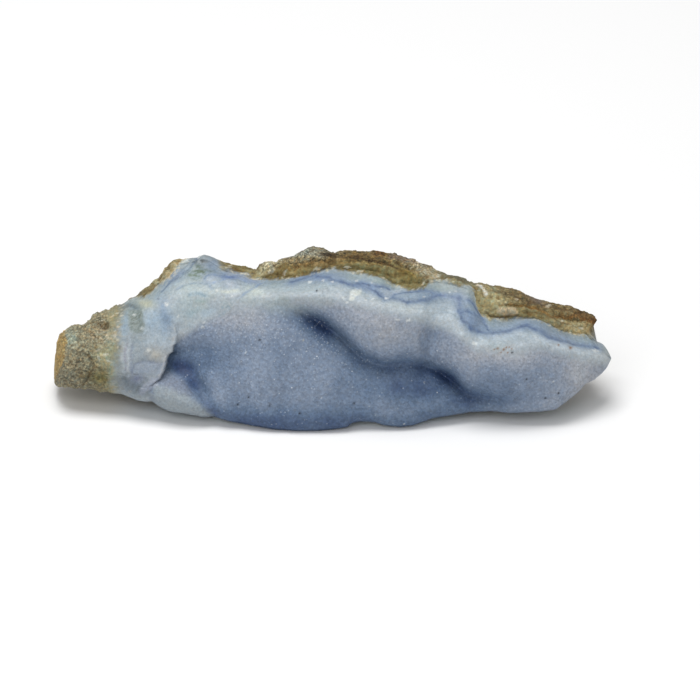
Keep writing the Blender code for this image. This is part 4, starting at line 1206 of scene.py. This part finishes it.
def stone_piece():
    """The visible stone: one closed mesh with its colours and masks on its points."""
    points, skin = rough_stone()
    colours = blend(chalcedony_paint(skin), rock_paint(skin), skin.rock)
    colours = chipped_paint(skin, colours)
    rings, around = points.shape[:2]
    index = np.arange(rings * around).reshape(rings, around)
    quads = np.stack([
        index[:-1],
        index[1:],
        np.roll(index, -1, axis=1)[1:],
        np.roll(index, -1, axis=1)[:-1],
    ], axis=-1).reshape(-1, 4)
    mesh = bpy.data.meshes.new("chalcedony_stone")
    ends = [index[0].tolist(), index[-1][::-1].tolist()]
    mesh.from_pydata((points * MM).reshape(-1, 3).tolist(), [], quads.tolist() + ends)
    mesh.shade_smooth()
    masks = {
        "rock": skin.rock, "druse": skin.druse, "coarse": skin.coarse, "painted_glint_share": painted_glint_share_of(skin),
    }
    for name, values in masks.items():
        mesh.attributes.new(name, "FLOAT", "POINT").data.foreach_set("value", values.ravel())
    alpha = np.ones(colours.shape[:-1] + (1,))
    layer = mesh.attributes.new("paint", "FLOAT_COLOR", "POINT")
    layer.data.foreach_set("color", np.concatenate([colours, alpha], axis=-1).ravel())
    piece = bpy.data.objects.new("chalcedony_stone", mesh)
    bpy.context.scene.collection.objects.link(piece)
    return piece


class Tree:
    """Short ways to add and join shader nodes."""

    def __init__(self, name):
        self.material = bpy.data.materials.new(name)
        self.material.use_nodes = True
        self.tree = self.material.node_tree
        self.shader = self.tree.nodes["Principled BSDF"]
        self.place = self.node("ShaderNodeTexCoord").outputs["Object"]

    def put(self, socket, value):
        if isinstance(value, bpy.types.NodeSocket):
            self.tree.links.new(value, socket)
        else:
            socket.default_value = value

    def node(self, kind, inputs=(), **settings):
        node = self.tree.nodes.new(kind)
        for name, value in settings.items():
            setattr(node, name, value)
        for key, value in dict(inputs).items():
            self.put(node.inputs[key], value)
        return node

    def math(self, operation, a, b=0.0):
        return self.node("ShaderNodeMath", {0: a, 1: b}, operation=operation).outputs[0]

    def mask(self, value, low, high, to_low=0.0, to_high=1.0):
        """A value stretched from one range to another."""
        return self.node("ShaderNodeMapRange", {
            "Value": value, "From Min": low, "From Max": high,
            "To Min": to_low, "To Max": to_high,
        }).outputs[0]

    def choose(self, share, a, b):
        """A number part of the way from a to b."""
        return self.node("ShaderNodeMix", {0: share, 2: a, 3: b}).outputs[0]

    def mix(self, share, a, b, mode="MIX"):
        """A colour part of the way from a to b."""
        node = self.node("ShaderNodeMix", data_type="RGBA", blend_type=mode)
        for key, value in ((0, share), (6, a), (7, b)):
            self.put(node.inputs[key], value)
        return node.outputs[2]

    def attribute(self, name, output="Fac"):
        return self.node("ShaderNodeAttribute", attribute_name=name).outputs[output]

    def noise(self, size, detail=2.0, rough=0.5):
        """Noise for features of a size in millimetres."""
        return self.node("ShaderNodeTexNoise", {
            "Vector": self.place, "Scale": 1 / (size * MM), "Detail": detail,
            "Roughness": rough,
        }).outputs[0]

    def cells(self, size):
        """Voronoi cells of a size in millimetres: distance from the middle, and a random value."""
        node = self.node("ShaderNodeTexVoronoi", {"Vector": self.place, "Scale": 1 / (size * MM)})
        split = self.node("ShaderNodeSeparateColor", {0: node.outputs["Color"]})
        return node.outputs["Distance"], split.outputs[0], split.outputs[1]


def stone_material():
    """Druse, banded chalcedony and host rock, told apart by the masks on the mesh."""
    t = Tree("chalcedony_stone")
    masks = (t.attribute(name) for name in ("rock", "druse", "coarse", "painted_glint_share"))
    rock, druse, coarse, painted_glint_share = masks
    facet_away, facet, facet_lit = t.cells(FACET_SIZE)
    sugar = t.mask(t.noise(0.5, 3, 0.7), 0.3, 0.7, 0.84, 1.16)
    sugar = t.math("MULTIPLY", sugar, t.mask(facet, 0, 1, 0.84, 1.16))
    veil = t.mask(t.noise(0.5, 6, 0.85), 0.3, 0.7, 0.68, 1.32)
    _, pebble, _ = t.cells(PEBBLE_SIZE)
    crumbs = t.noise(0.46, 5, 0.85)
    grit = t.mask(crumbs, 0.36, 0.64, 0.1, 1.9)
    grit = t.math("MULTIPLY", grit, t.mask(pebble, 0, 1, 0.45, 1.55))
    mild = t.mask(crumbs, 0.3, 0.7, 0.66, 1.34)
    grain = t.choose(rock, t.choose(druse, veil, sugar), t.choose(coarse, mild, grit))
    hue = t.mask(t.noise(0.7, 4, 0.7), 0.3, 0.7, -1, 1)
    hue = t.math("MULTIPLY", hue, t.choose(rock, 0.05, 0.20))
    warm = t.math("MULTIPLY", grain, t.math("ADD", 1.0, hue))
    cool = t.math("MULTIPLY", grain, t.math("SUBTRACT", 1.0, hue))
    tint = t.node("ShaderNodeCombineColor", {0: warm, 1: grain, 2: cool}).outputs[0]
    base = t.mix(1.0, t.attribute("paint", "Color"), tint, "MULTIPLY")

    # Painted glints: faint white facets and bright sparks mixed into the druse's colour where
    # crystals would catch the light.
    lit = t.math("GREATER_THAN", facet_lit, t.mask(painted_glint_share, 0, 1, 0.99, 0.55))
    faint = t.math("MULTIPLY", t.mask(facet_away, 0.5, 0.1), lit)
    spark_away, chance, power = t.cells(PAINTED_SPARK_SIZE)
    lit = t.math("GREATER_THAN", chance, t.mask(painted_glint_share, 0, 1, 0.997, 0.93))
    painted_spark = t.math("MULTIPLY", t.mask(spark_away, 0.36, 0.16), lit)
    painted_spark = t.math("MULTIPLY", painted_spark, t.mask(power, 0, 1, 0.3, 0.9))
    painted_glint = t.math("MAXIMUM", t.math("MULTIPLY", faint, 0.28), painted_spark)
    base = t.mix(t.math("MULTIPLY", painted_glint, druse), base, (*rgb(*PAINTED_GLINT_WHITE), 1))
    t.put(t.shader.inputs["Base Color"], base)

    stone_roughness = t.choose(druse, BAND_ROUGHNESS, DRUSE_ROUGHNESS)
    t.put(t.shader.inputs["Roughness"], t.choose(rock, stone_roughness, ROCK_ROUGHNESS))
    t.shader.inputs["IOR"].default_value = QUARTZ_IOR
    t.shader.inputs["Specular IOR Level"].default_value = SPECULAR

    relief = t.choose(
        rock,
        t.choose(druse, t.math("MULTIPLY", t.noise(1.4, 5, 0.55), BAND_BUMP),
                 t.math("MULTIPLY", facet_away, DRUSE_BUMP)),
        t.math("MULTIPLY", t.noise(0.5, 6, 0.7), ROCK_BUMP),
    )
    bump = t.node("ShaderNodeBump", {"Strength": 1.0, "Distance": 1.0, "Height": relief})
    t.put(t.shader.inputs["Normal"], bump.outputs["Normal"])
    return t.material


def plain_material(name, colour, roughness):
    t = Tree(name)
    t.shader.inputs["Base Color"].default_value = (*colour, 1)
    t.shader.inputs["Roughness"].default_value = roughness
    return t.material


# The photograph's frame: its side in millimetres, and the place in the face frame at its middle
FRAME_SIDE = 140.0
FRAME_MIDDLE = (3.6, -2.0, 0.0)
CAMERA_DISTANCE = 2000.0
SENSOR = 36.0
CLIP_END = 10.0

FLOOR_SIDE = 5.0
FLOOR_ALBEDO = 0.86
FLOOR_ROUGHNESS = 0.9

# Square lamps: name, place and side in metres, and power in watts
LAMPS = (
    ("lamp_above", (-0.10, 0.05, 0.8), 0.5, 5.1),
    ("lamp_front", (-0.25, -0.7, 0.6), 0.6, 2.2),
)
SURROUND = 0.40


def add_camera():
    """A long lens that looks straight at the face frame."""
    target = Vector(upright(*map(np.array, FRAME_MIDDLE))) * MM
    back = Vector((0, -math.cos(FACE_LEAN), math.sin(FACE_LEAN)))
    data = bpy.data.cameras.new("camera")
    data.sensor_width = SENSOR
    data.lens = SENSOR * CAMERA_DISTANCE / FRAME_SIDE
    data.clip_end = CLIP_END
    camera = bpy.data.objects.new("camera", data)
    camera.location = target + back * CAMERA_DISTANCE * MM
    camera.rotation_euler = (-back).to_track_quat("-Z", "Y").to_euler()
    bpy.context.scene.collection.objects.link(camera)
    bpy.context.scene.camera = camera


def add_lamp(name, place, side, power):
    """A soft square lamp that points at the stone."""
    data = bpy.data.lights.new(name, "AREA")
    data.size = side
    data.energy = power
    lamp = bpy.data.objects.new(name, data)
    lamp.location = place
    lamp.rotation_euler = (-Vector(place)).to_track_quat("-Z", "Y").to_euler()
    bpy.context.scene.collection.objects.link(lamp)


def add_stage():
    """A pale floor, soft lamps and an even surround."""
    half = FLOOR_SIDE / 2
    corners = [(-half, -half, 0), (half, -half, 0), (half, half, 0), (-half, half, 0)]
    mesh = bpy.data.meshes.new("floor")
    mesh.from_pydata(corners, [], [(0, 1, 2, 3)])
    floor = bpy.data.objects.new("floor", mesh)
    bpy.context.scene.collection.objects.link(floor)
    mesh.materials.append(plain_material("floor", (FLOOR_ALBEDO,) * 3, FLOOR_ROUGHNESS))
    for lamp in LAMPS:
        add_lamp(*lamp)
    world = bpy.data.worlds.new("surround")
    world.use_nodes = True
    surround = world.node_tree.nodes["Background"]
    surround.inputs["Color"].default_value = (1, 1, 1, 1)
    surround.inputs["Strength"].default_value = SURROUND
    bpy.context.scene.world = world
    bpy.context.scene.view_settings.view_transform = "Standard"


stone = stone_piece()
stone.data.materials.append(stone_material())
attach(stone, "root")
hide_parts("chalcedony")
add_stage()
add_camera()
